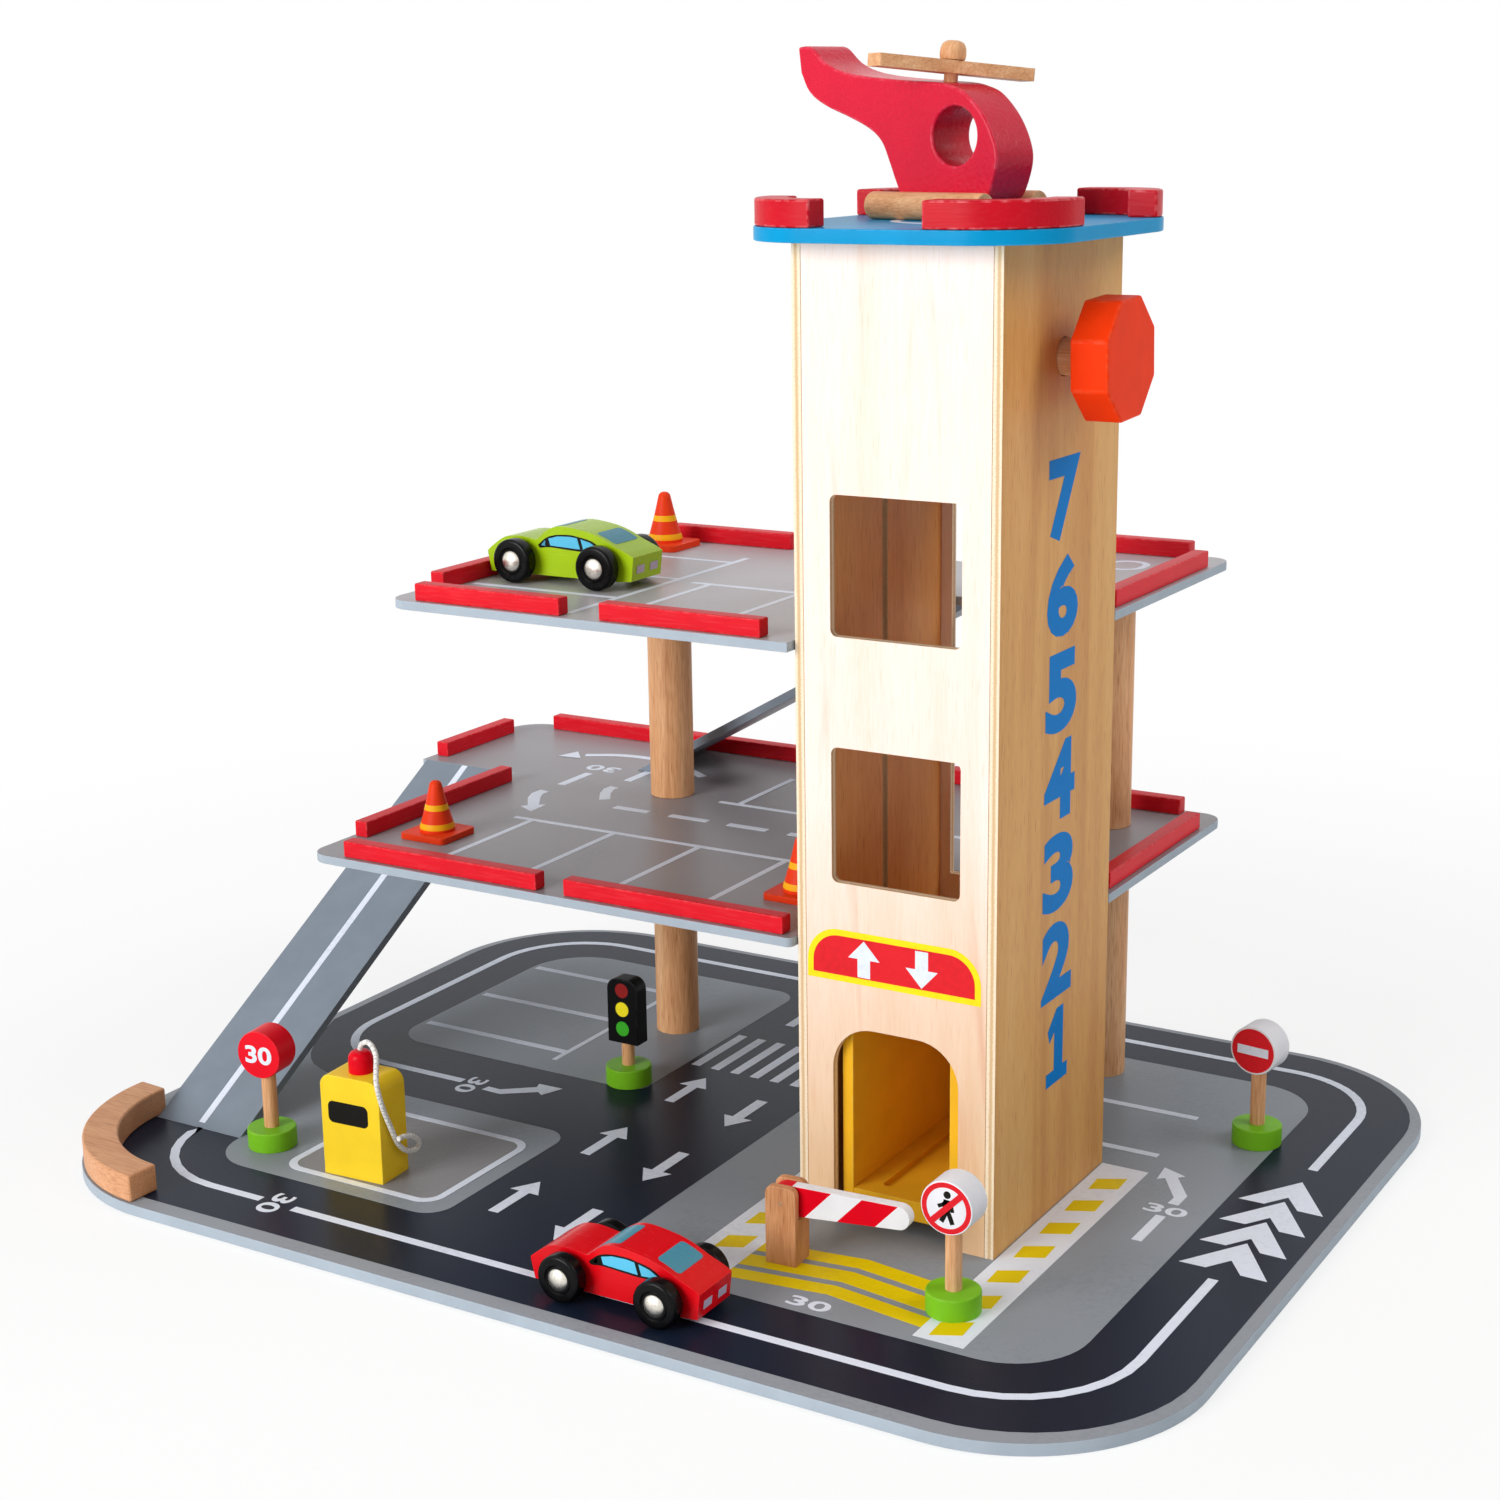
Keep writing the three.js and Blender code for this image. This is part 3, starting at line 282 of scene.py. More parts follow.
# The helicopter's glossy coat is pimpled like orange peel
heli_red = toy_paint("crimson_lacquer", "#D81838", "#EE6A80", along="all", rough=0.26, relief=1.3,
                     shine=0.2, ripple=0.0019, wear_and_highlight=0.3)
green_foot = toy_paint("green_foot_lacquer", "#7EC626", "#B4DC6A", along="z")
sign_red = toy_paint("red_disc_lacquer", "#EC1125", "#F46A6E", along="y")
sign_white = toy_paint("white_disc_lacquer", "#EDEDF2", along="y")
lamp_black = toy_paint("black_lamp_lacquer", "#0C0C0E", "#4A4A50", along="z")
pump_yellow = toy_paint("yellow_pump_lacquer", "#FCD52E", "#FFEC8A", along="z")
cap_red = toy_paint("red_cap_lacquer", "#E4001B", "#F05A60", rough=0.28)
bar_white = toy_paint("white_bar_lacquer", "#F1F1F5")
bar_red = toy_paint("red_bar_lacquer", "#E4001B", "#F05A60")
cone_orange = toy_paint("orange_cone_lacquer", "#EA3E18", "#F27A50", along="z", rough=0.42)
cone_stripe = toy_paint("amber_cone_stripe", "#F9B41A", "#FBD27A", along="z", rough=0.42)
# The cars have several glossy coats that hide the grain and wear through on the edges; the paler edges,
# strongest on the red car, are also a painted highlight along the rounded edges
car_red = toy_paint("red_car_lacquer", "#E40A18", "#FA5C66", rough=0.24, shine=0.2, relief=0.03, wear_and_highlight=0.6)
car_green = toy_paint("green_car_lacquer", "#AACE14", "#BEE06A", rough=0.24, shine=0.22, relief=0.03)
ramp_grey = toy_paint("grey_ramp_lacquer", "#86919D", "#AEB7C2", rough=0.42, along="y", relief=0.12)
pale_edge = toy_paint("pale_grey_edge_lacquer", "#A9B5C0", "#C4CCD4", rough=0.5, relief=0.12)
print("paints:", [m.name for m in bpy.data.materials if "lacquer" in m.name and "beech" not in m.name])

# %% [markdown]
# ## Print
# The board and the decks are screen-printed: flat satin inks laid over a ground coat, so the
# grain hardly shows and the sheen is even. Metal flakes in the deck's grey ink make it glisten a
# little. Each ink is a layer a tenth of a millimetre thick, modelled as such, which keeps every
# line crisp from near and far.

# %% Printing inks
def ink(name, code, rough=0.42, flakes=0.0, shine=0.12):
    """A screen-printed ink, with fine mottling and a faint screen texture."""
    material, tree = new_finish(name + "_ink", roughness=rough, specular_ior_level=shine, metallic=flakes)
    place = node(tree, "TexCoord").outputs["Object"]
    mottle = node(tree, "TexNoise", {"Vector": place, "Scale": 1 / 0.0022, "Detail": 5})
    clouds = node(tree, "TexNoise", {"Vector": place, "Scale": 1 / 0.06, "Detail": 2})
    mixed = node(tree, "Math", {0: mottle, 1: clouds}, operation="ADD")
    tone = node(tree, "ValToRGB", {"Fac": mixed}, ((0.7, "#F3F3F3"), (1.0, WHITE)))
    body = node(tree, "Mix", {FACTOR: 1.0, UNDER: colour(code), OVER: tone}, **TINT)
    sheen = node(tree, "MapRange", {"Value": mottle, "To Min": rough - 0.06, "To Max": rough + 0.08})
    screen = node(tree, "Bump", {"Height": mottle, "Strength": 0.1, "Distance": 0.0001})
    return dressed(material, body, sheen, screen)


# The board's ground coat, the smoother navy of the road and the two greys beside it
rim_ink = ink("warm_grey_rim", "#979CA3")
road_ink = ink("navy_road", "#161F30", rough=0.3, shine=0.1)
island_ink = ink("grey_island", "#8F969E", rough=0.34)
bay_ink = ink("brown_grey_bay", "#8A898B", rough=0.34)
deck_ink = ink("satin_deck", "#9C999D", rough=0.36, flakes=0.2)
# The top deck takes the same satin grey painted lighter, as painted light: the open top deck is lit more than
# the first deck beneath it
lit_top_deck_ink = ink("satin_top_deck_lit", "#B8B5B9", rough=0.36, flakes=0.2)
line_ink, white_ink = ink("pale_line", "#E6EDFA"), ink("white", "#E4EBF8")
strip_ink, yellow_ink = ink("cool_white_strip", "#E8EDF6"), ink("yellow", "#E8CC08")
red_ink, black_ink = ink("red_plate", "#E0202A"), ink("black", "#15130F")
blue_ink = ink("blue_numeral", "#047AC8", shine=0.04)
# Car windows and number plates, a little glossier, as glass is
glass_ink = ink("sky_blue_window", "#5FC3E8", rough=0.25)
screen_ink = ink("slate_blue_window", "#4E92A8", rough=0.25)
plate_ink = ink("lilac_plate", "#BFB4CC")
print("inks:", len([m for m in bpy.data.materials if m.name.endswith("ink")]))

# %% [markdown]
# ## Plastic, steel and cotton
# The tyres are black moulded plastic with a groove, the hubs are domed steel rivets, and the
# lift's string and the pump's hose are braided cotton. The braid is two diagonal waves on the
# cord's own map: one runs round and along, the other the opposite way.

# %% Tyres, hubs and cotton
def hazed(name, grain, detail, low, high, dull, duller, **plain):
    """An even stuff with one fine haze that shifts its colour and its gloss: grain is its size in metres."""
    material, tree = new_finish(name, **plain)
    place = node(tree, "TexCoord").outputs["Object"]
    haze = node(tree, "TexNoise", {"Vector": place, "Scale": 1 / grain, "Detail": detail})
    tone = node(tree, "ValToRGB", {"Fac": haze}, (low, high))
    sheen = node(tree, "MapRange", {"Value": haze, "To Min": dull, "To Max": duller})
    return dressed(material, tone, sheen)


def braided_cotton(name, strand):
    """Braided cord: strand is the length in metres that one strand takes to pass."""
    material, tree = new_finish(name, roughness=0.85, sheen_weight=0.3, specular_ior_level=0.2)
    place = node(tree, "UVMap", uv_map="cord")
    waves = []
    for sign in (1, -1):
        spread = node(tree, "Mapping", {"Vector": place, "Scale": (1 / strand, 3 * sign, 1)})
        part = node(tree, "SeparateXYZ", {"Vector": spread}).outputs
        total = node(tree, "Math", {0: part["X"], 1: part["Y"]}, operation="ADD")
        angle = node(tree, "Math", {0: total, 1: math.tau}, operation="MULTIPLY")
        waves.append(node(tree, "Math", {0: angle}, operation="SINE"))
    height = node(tree, "Math", {0: waves[0], 1: waves[1]}, operation="MAXIMUM")
    tone = node(tree, "MapRange", {"Value": height, "From Min": -0.2})
    # The grooves between the strands are painted darker: painted shade in the braid's recesses
    shade = node(tree, "ValToRGB", {"Fac": tone}, ((0.0, "#C9C7C0"), (0.6, "#F3F2EE")))
    relief = node(tree, "Bump", {"Height": height, "Strength": 0.7, "Distance": 0.0002})
    return dressed(material, shade, None, relief)


# Moulded black plastic has a soft highlight; nickel-plated steel fine scratches from handling
tyre_black = hazed("moulded_black_tyre", 0.004, 4, (0.35, "#050506"), (0.7, "#0A0A0C"), 0.2, 0.34,
                   roughness=0.26, specular_ior_level=0.12)
hub_steel = hazed("nickel_plated_rivet", 0.0007, 5, (0.3, "#CFC8BA"), (0.7, "#EFEBE2"), 0.22, 0.42,
                  metallic=1.0, roughness=0.3)
# A 2.3 mm braid has a strand about every 1.6 mm, and a 1.8 mm string one about every 1.3 mm
hose_cotton = braided_cotton("braided_white_hose", 0.0016)
string_cotton = braided_cotton("braided_white_string", 0.0013)
print("cords:", hose_cotton.name, string_cotton.name)

# %% [markdown]
# ## Shaping helpers
# Everything here is sawn from sheet or turned on a lathe, so a few helpers cover it: an outline whose corners
# are rounded by a bevel, a sheet cut to outlines with holes, a block, a rod and a turned profile. They work
# in millimetres, and `piece` turns the result to metres, marks its sharp edges, lets it ride on its part of
# the frame and hides the solid that it stands for.

# %% Outlines and sheets
def rounded(bm, geom, width, segments, affect="EDGES", **more):
    """Rounds corners or edges with a bevel, and gives back the new faces."""
    return bmesh.ops.bevel(bm, geom=geom, offset=width, segments=segments, profile=0.5, affect=affect,
                           material=-1, **more)["faces"]


def outline(bm, corners, steps=8):
    """A closed wire through (x, y, radius) corners, each rounded by a bevel of that size."""
    verts = [bm.verts.new((corner[0], corner[1], 0)) for corner in corners]
    for pair in zip(verts, verts[1:] + verts[:1]):
        bm.edges.new(pair)
    for vert, corner in zip(verts, corners):
        if len(corner) > 2 and corner[2]:
            rounded(bm, [vert], corner[2], steps, "VERTICES")


def sheet(loops, depth, steps=8, bm=None):
    """A sheet in the XY plane, rising by depth: the first loop is its outline, the rest holes."""
    bm = bm or bmesh.new()
    known = set(bm.edges)
    for loop in loops:
        outline(bm, loop, steps)
    corners = list({v for e in bm.edges if e not in known for v in e.verts})
    bmesh.ops.remove_doubles(bm, verts=corners, dist=0.001)
    wire = [e for e in bm.edges if e not in known]
    filled = bmesh.ops.triangle_fill(bm, use_beauty=True, edges=wire)["geom"]
    faces = [f for f in filled if isinstance(f, bmesh.types.BMFace)]
    if len(loops) == 1:
        faces = bmesh.ops.dissolve_faces(bm, faces=faces)["region"]
    raised = bmesh.ops.extrude_face_region(bm, geom=faces, use_keep_orig=True)["geom"]
    bmesh.ops.translate(bm, verts=[v for v in raised if isinstance(v, bmesh.types.BMVert)], vec=(0, 0, depth))
    bmesh.ops.recalc_face_normals(bm, faces=bm.faces)
    return bm


def rectangle(x0, x1, y0, y1, low=0, high=None):
    """The corners of a rectangle, with one radius for the two low and one for the two high ones."""
    high = low if high is None else high
    return [(x0, y0, low), (x1, y0, low), (x1, y1, high), (x0, y1, high)]


def circle(radius, x=0.0, y=0.0, count=48):
    """The corners of a circle, counted from its right."""
    angles = [i / count * math.tau for i in range(count)]
    return [(x + radius * math.cos(t), y + radius * math.sin(t)) for t in angles]


def soften(bm, width, segments=2, beyond=30):
    """Rounds every edge that turns by more than an angle, and marks the new faces as paler edges, for wear
    and a painted highlight.
    """
    worn_and_lit = bm.faces.layers.float.get("worn_and_lit") or bm.faces.layers.float.new("worn_and_lit")
    edges = [e for e in bm.edges if len(e.link_faces) == 2 and e.calc_face_angle() > math.radians(beyond)]
    for face in rounded(bm, edges, width, segments, clamp_overlap=True):
        face[worn_and_lit] = 1
    return bm


def ply(loops, thick, steps=10, soft=0.35):
    """A softened sheet of ply, whose sawn edge takes the second material."""
    bm = soften(sheet(loops, thick, steps), soft)
    for face in bm.faces:
        if abs(face.normal.z) < 0.7:
            face.material_index = 1
    return bm


print("sheet helpers ready")


# %% Blocks, rods and turned shapes
def block(low, high, soft=0.7):
    """A sawn block between two corners, with softened edges."""
    bm = bmesh.new()
    bmesh.ops.create_cube(bm, size=1)
    low, high = Vector(low), Vector(high)
    bmesh.ops.scale(bm, verts=bm.verts, vec=high - low)
    bmesh.ops.translate(bm, verts=bm.verts, vec=(low + high) / 2)
    return soften(bm, soft)


def rod(radius, length, soft, sides, segments=2):
    """A dowel along Z that starts at the origin."""
    bm = bmesh.new()
    bmesh.ops.create_cone(bm, cap_ends=True, segments=sides, radius1=radius, radius2=radius, depth=length)
    bmesh.ops.translate(bm, verts=bm.verts, vec=(0, 0, length / 2))
    return soften(bm, soft, segments)


def spun(bm, geom, angle, steps, closed):
    """Spins geometry about Z by an angle."""
    bmesh.ops.spin(bm, geom=geom, axis=(0, 0, 1), angle=angle, steps=steps, use_merge=closed)


def turned(profile, steps=48):
    """A shape turned about Z from (radius, height) points."""
    bm = bmesh.new()
    verts = [bm.verts.new((radius, 0, height)) for radius, height in profile]
    edges = [bm.edges.new(pair) for pair in zip(verts, verts[1:])]
    spun(bm, verts + edges, math.tau, steps, True)
    bmesh.ops.remove_doubles(bm, verts=bm.verts, dist=0.001)
    bmesh.ops.recalc_face_normals(bm, faces=bm.faces)
    return bm


def at(x, y, z, turn=0):
    """The place of a piece, in millimetres, turned by degrees about Z."""
    return Matrix.Translation((x, y, z)) @ Matrix.Rotation(math.radians(turn), 4, "Z")


# A sheet drawn in XY, stood up to face -Y or turned to look along X, and a rod laid along X
FACING = Matrix.Rotation(math.pi / 2, 4, "X")
SIDEWAYS = Matrix(((0, 0, 1, 0), (1, 0, 0, 0), (0, 1, 0, 0), (0, 0, 0, 1)))
ALONG_X = Matrix.Rotation(math.pi / 2, 4, "Y")


def size(solid):
    """The two corners of a solid of the frame, in millimetres."""
    low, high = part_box(solid)
    return Vector(low) / MM, Vector(high) / MM


SHARP = math.radians(35)


def piece(name, bm, finish, stands_for="", place=None, body="garage"):
    """Turns a bmesh in millimetres into a finished piece that rides on a body of the frame."""
    if place is not None:
        bmesh.ops.transform(bm, matrix=place, verts=bm.verts)
    bmesh.ops.scale(bm, verts=bm.verts, vec=(MM, MM, MM))
    for e in bm.edges:
        e.smooth = len(e.link_faces) == 2 and e.calc_face_angle() < SHARP
    for face in bm.faces:
        face.smooth = True
    loose = sum(not e.is_manifold for e in bm.edges)
    mesh = bpy.data.meshes.new(name)
    bm.to_mesh(mesh)
    bm.free()
    for material in finish if isinstance(finish, tuple) else (finish,):
        mesh.materials.append(material)
    made = bpy.data.objects.new(name, mesh)
    scene.collection.objects.link(made)
    made.modifiers.new("even shading", "WEIGHTED_NORMAL").keep_sharp = True
    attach(made, body)
    if stands_for:
        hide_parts(stands_for)
    print(f"{name}: {len(mesh.polygons)} faces" + (f", {loose} open edges" if loose else ""))
    return made


print("shaping helpers ready")

# %% [markdown]
# ## The pump's hose and the lift's string
# The hose is a limp cotton cord, 2.3 mm thick. It rises from the cap, falls over the pump's right side and
# curls up once at its cut end, so a smooth curve runs through listed places and a ring is swept along it. The
# string is short and straight: it hangs from the axle to the cage's top bar, and on the real toy it shortens
# as the cage rises.

# %% A curve through places, and a cord along it
def through(places, steps=6):
    """Points on a smooth curve through all the places."""
    places = [Vector(place) for place in places]
    ends = [2 * places[0] - places[1], *places, 2 * places[-1] - places[-2]]
    curve = [places[0]]
    for a, b, c, d in zip(ends, ends[1:], ends[2:], ends[3:]):
        for t in (i / steps for i in range(1, steps + 1)):
            curve.append(0.5 * ((2 * b) + (c - a) * t + (2 * a - 5 * b + 4 * c - d) * t**2
                                + (3 * b - a - 3 * c + d) * t**3))
    return curve


def swept(route, radius, sides=12):
    """A ring extruded along a route, with a map named cord: metres along, and once round."""
    bm = bmesh.new()
    uv = bm.loops.layers.uv.new("cord")
    way = (route[1] - route[0]).normalized()
    upright = Vector((0, 0, 1)).rotation_difference(way).to_matrix().to_4x4()
    bmesh.ops.create_circle(bm, segments=sides, radius=radius,
                            matrix=Matrix.Translation(route[0]) @ upright)
    edges = bm.edges[:]
    bmesh.ops.contextual_create(bm, geom=edges)
    travelled = 0
    for i in range(1, len(route)):
        known = set(bm.faces)
        step = route[i] - route[i - 1]
        ahead = (route[min(i + 1, len(route) - 1)] - route[i - 1]).normalized()
        grown = bmesh.ops.extrude_edge_only(bm, edges=edges)["geom"]
        ring = {g for g in grown if isinstance(g, bmesh.types.BMVert)}
        edges = [g for g in grown if isinstance(g, bmesh.types.BMEdge)]
        bmesh.ops.translate(bm, verts=list(ring), vec=step)
        bmesh.ops.rotate(bm, verts=list(ring), cent=route[i],
                         matrix=way.rotation_difference(ahead).to_matrix())
        for j, face in enumerate(f for f in bm.faces if f not in known):
            for loop in face.loops:
                far = loop.vert in ring
                turned_on = (loop.link_loop_next.vert in ring) != far
                along = travelled + (step.length if far else 0)
                loop[uv].uv = (along * MM, (j + turned_on) / sides)
        travelled += step.length
        way = ahead
    bmesh.ops.contextual_create(bm, geom=edges)
    bmesh.ops.recalc_face_normals(bm, faces=bm.faces)
    return bm, travelled


# Places from the middle of the cap's top, up and over, down the pump's side, to the curl
hose_start = Vector((-121.42, -124.8, 60.4))
hose_places = [
    (0.2, -0.4, 0.8), (1.4, -0.6, 3.1), (4.6, -1, 4.9), (8.2, -2, 4.2), (11.7, -3.8, 1),
    (14.6, -7.5, -2.9), (16.7, -10.4, -7.2), (17.5, -10.3, -12.7), (17.6, -7.7, -21.2),
    (17.6, -4.2, -29.2), (17.6, -1.8, -34.8), (17.6, 1.3, -40.3), (17.6, 6.7, -44.9),
    (17.8, 12.3, -45.9), (19.1, 12.7, -42.6), (20.6, 7.1, -37.7), (20.6, 1.6, -35.6),
    (20.6, -2.7, -35.3),
]
hose_route = [hose_start + point for point in through(hose_places)]
hose_mesh, hose_length = swept(hose_route, 1.15)
hose = piece("pump_hose_braid", hose_mesh, hose_cotton, "pump_hose", body="pump")
print("hose length in mm:", round(hose_length, 1))

# %% The lift's string
low, high = size("lift_rope")
string_x, string_y = (low.x + high.x) / 2, (low.y + high.y) / 2
string_route = [Vector((string_x, string_y, high.z + (low.z - high.z) * i / 24)) for i in range(25)]
string_mesh, string_length = swept(string_route, 0.9, 10)
string = piece("lift_string", string_mesh, string_cotton, "lift_rope")
string.parent = None
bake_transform(string)
print("string length in mm:", round(string_length, 1))

# It is wound three times round the axle, 1.9 mm clear of its own drop, and turns with it
low, high = size("crank_axle")
axle_y, axle_z = (low.y + high.y) / 2, (low.z + high.z) / 2
wraps = [Vector((string_x - 1.9 - 1.85 * turn, axle_y + 8 * math.cos(turn * math.tau),
                 axle_z + 8 * math.sin(turn * math.tau))) for turn in (i / 24 for i in range(73))]
piece("string_winding", swept(wraps, 0.85, 8)[0], string_cotton, body="crank")

# %% [markdown]
# ## The board
# A 5 mm board, 520 by 400 mm, with widely rounded corners. Its ground coat is a warm grey that
# stays bare as a rim, and its sawn edge is painted a paler grey. The road, the islands and the
# white lines are printed over it.

# %% The board
low, high = size("base_board")
board = ply([rectangle(low.x, high.x, low.y, high.y, 76.5)], high.z - low.z, 24, 0.4)
piece("printed_board", board, (rim_ink, pale_edge), "base_board", at(0, 0, low.z))
on_board = at(0, 0, high.z)

# %% [markdown]
# ## Printed layers
# Inks lie on the board in layers of 0.1 mm: the navy road, then the grey islands and the lines
# beside them, then what is printed on the islands, and last what lies on that. A straight line is
# a strip of four corners, a bent one is a strip that follows its middle line, and an arrow is a
# sheet of seven corners.

# %% Lines, arrows and strips
# A layer's thickness, and how far each is let into what it lies on
INK, SUNK = 0.1, 0.02


def bent(places, steps=8):
    """Points on a line whose (x, y, reach) corners are rounded from reach before to reach after."""
    line = []
    for i, place in enumerate(places):
        corner = Vector(place[:2])
        if len(place) < 3:
            line.append(corner)
            continue
        before = (Vector(places[i - 1][:2]) - corner).normalized()
        after = (Vector(places[i + 1][:2]) - corner).normalized()
        centre = corner + (before + after).normalized() * place[2] / math.cos(before.angle(after) / 2)
        start, end = (corner + side * place[2] - centre for side in (before, after))
        radius = start.length
        line += [centre + start.normalized().slerp(end.normalized(), k / steps) * radius
                 for k in range(steps + 1)]
    return line


def strip(line, width):
    """The outline of a line of some width, mitred at its bends."""
    line = [Vector(point[:2]) for point in line]
    sides = ([], [])
    for i, point in enumerate(line):
        before = (point - line[i - 1]).normalized() if i else (line[1] - point).normalized()
        after = (line[i + 1] - point).normalized() if i < len(line) - 1 else before
        mean = (before + after).normalized()
        normal = Vector((-mean.y, mean.x)) * width / 2 / max(mean.dot(after), 0.3)
        sides[0].append(point + normal)
        sides[1].append(point - normal)
    return sides[0] + sides[1][::-1]


def lines(width, *rows):
    """Straight lines of one width, each a row with its two ends."""
    return [strip([(x0, y0), (x1, y1)], width) for x0, y0, x1, y1 in rows]


def arrow(tail, tip, shaft, head, wing):
    """An arrow's outline from tail to tip: shaft and wing are widths, head is its length."""
    tail, tip = Vector(tail), Vector(tip)
    way = (tip - tail).normalized()
    aside = Vector((-way.y, way.x)) / 2
    neck = tip - way * head
    return [tail + aside * shaft, neck + aside * shaft, neck + aside * wing, tip,
            neck - aside * wing, neck - aside * shaft, tail - aside * shaft]


def printed(name, loops, material, place, layer=0, body="garage"):
    """Prints outlines in one ink on the plane of a place. Each is a list of corners, or one with holes."""
    bm = bmesh.new()
    for loop in loops:
        sheet(loop if isinstance(loop[0], list) else [loop], INK, 12, bm)
    return piece(name, bm, material, place=place @ at(0, 0, layer * INK - SUNK), body=body)


road = [(-255, -192, 70), (254.5, -192, 70), (254.5, 196, 70), (-255, 196, 70)]
tower_island = [(9, -146, 30), (210, -146, 32), (210, 154, 28), (9, 154, 30)]
parking_island = [(-213, 6.8, 18), (-67.5, 6.8, 8), (-67.5, 154.5, 12), (-213, 154.5, 32)]
pump_island = [
    (-255, -125), (-194, -125), (-194, -147.5, 22), (-66.7, -147.5, 12), (-66.7, -50, 12),
    (-190, -50), (-205, -47.5), (-215.6, -44.1), (-223.5, -40.5), (-229.2, -35.9), (-234.5, -30),
    (-238, -24.6), (-244, -14), (-249.2, -2.3), (-255, 12),
]
pump_bay = rectangle(-158, -75, -139.5, -66, 10)
printed("road_print", [road], road_ink, on_board)
printed("island_print", [tower_island, parking_island, pump_island], island_ink, on_board, 1)
printed("pump_bay_print", [pump_bay], bay_ink, on_board, 2)

# %% The lines on the board
lane = [
    strip(bent([(-124, -169.8), (231.4, -169.8, 52), (231.4, -44.3)]), 4.2),
    strip(bent([(231.7, 72.3), (231.7, 175.5, 43), (-235.5, 175.5, 48), (-235.5, -22.5, 42),
                (-147.7, -22.5)], 12), 4.2),
    strip(bent([(-142, -169), (-218.8, -169, 48), (-218.8, -122)]), 4),
]
up_arrows = [arrow((-49.3, y0), (-49.3, y1), 5, 11.5, 14.3)
             for y0, y1 in ((3.3, 35.4), (-64.4, -30.9), (-131.3, -97.7))]
down_arrows = [arrow((-11.9, y0), (-11.9, y1), 5.5, 11.5, 14.3)
               for y0, y1 in ((24.4, -8.9), (-42.5, -75.6), (-108.7, -140.9))]
middle_line = rectangle(-51.7, -46.8, 113.5, 168)
zebra = [rectangle(-64.7 + 10.8 * i, -60 + 10.8 * i, 47, 91) for i in range(7)]
chevron = [(231.9, 58.4), (214.1, 30.6), (225, 30.7), (231.8, 41.1), (239.2, 30.6), (250.1, 30.3)]
chevrons = [[(x, y - 22.2 * i) for x, y in chevron] for i in range(4)]
bays = lines(4, *((-210.5, y, -127, y) for y in (124, 77.5, 31))) + lines(2.7, (-125.5, 20, -125.5, 133))
bays += lines(3.9, (112, 101, 169, 101), (140, 54.5, 169, 54.5))
left_bent = [(-133.5, -26.8), (-132.8, -22.6), (-126.1, -22.8), (-112.6, -12.3), (-114, -8.4),
             (-100.9, -8.1), (-105.2, -19), (-108.6, -16.7), (-122.8, -27.2)]
right_bent = [(190.4, 11.6), (195, 11.6), (195, 21.7), (184.7, 37.3), (187.1, 39.7), (176, 44.5),
              (177.4, 32), (180.2, 34.4), (190.6, 17.8)]
bays += [right_bent, rectangle(190.3, 194.6, -27, -1)]
bay_ring = [pump_bay, rectangle(-154.5, -78.5, -136, -69.5, 7)]
for name, loops, material, layer in (
    ("lane_print", lane, line_ink, 1),
    ("road_arrows_print", up_arrows + down_arrows + [middle_line], line_ink, 1),
    ("zebra_print", zebra, line_ink, 1), ("chevron_print", chevrons, white_ink, 1),
    ("island_line_print", bays, line_ink, 2), ("bay_ring_print", [bay_ring], line_ink, 3),
    ("left_bent_arrow_print", [left_bent], line_ink, 1),
):
    printed(name, loops, material, on_board, layer)

# %% [markdown]
# ## The lift's forecourt
# In front of the door lie two pale strips with yellow blocks and three yellow bands that bow
# towards the tower. The blocks lean: each is a four-cornered sheet, shifted by one pitch.

# %% The forecourt
strips = [rectangle(151, 172, -141.6, 36), rectangle(42.3, 64.2, -141.6, 36)]
block_right = [(155.6, 19.5), (166.8, 25.6), (167.4, 14), (156.2, 8.5)]
block_left = [(47.7, -102.8), (58.7, -98), (58.7, -109.6), (47.7, -114.6)]
blocks = [[(x, y - 24.5 * i) for x, y in block_right] for i in range(7)]
blocks += [[(x, y + 24.5 * i) for x, y in block_left] for i in range(-1, 6)]
bands = [[(64.2, top - 6), (107.5, top), (151, top - 6), (151, under - 6), (107.5, under),
          (64.2, under - 6)] for top, under in ((-94.7, -103.2), (-107, -116.7), (-120.5, -128.5))]
printed("forecourt_strip_print", strips, strip_ink, on_board, 2)
printed("forecourt_block_print", blocks, yellow_ink, on_board, 3)
printed("forecourt_band_print", bands, yellow_ink, on_board, 2)

# %% [markdown]
# ## Plain numbers on the road
# Where a road has words, this part has a plain speed number. A text object is made a mesh, its
# box is measured, and it is scaled to the size that it needs before its place is applied.

# %% Numbers
def numeral(text, width, height, boldness=0.02, steps=6):
    """A number as a sheet, centred on the origin and stretched to a width and height."""
    words = bpy.data.curves.new("numeral", "FONT")
    words.body, words.offset, words.extrude, words.resolution_u = text, boldness, 0.01, steps
    holder = bpy.data.objects.new("numeral", words)
    scene.collection.objects.link(holder)
    shown = holder.evaluated_get(bpy.context.evaluated_depsgraph_get())
    mesh = bpy.data.meshes.new_from_object(shown)
    bm = bmesh.new()
    bm.from_mesh(mesh)
    bpy.data.objects.remove(holder)
    bpy.data.meshes.remove(mesh)
    bmesh.ops.remove_doubles(bm, verts=bm.verts, dist=0.0005)
    low, high = (Vector(end(v.co[i] for v in bm.verts) for i in range(3)) for end in (min, max))
    wide, tall, deep = high - low
    bmesh.ops.translate(bm, verts=bm.verts, vec=-(low + high) / 2)
    bmesh.ops.scale(bm, verts=bm.verts, vec=(width / wide, height / tall, INK / deep))
    bmesh.ops.translate(bm, verts=bm.verts, vec=(0, 0, INK / 2))
    return bm


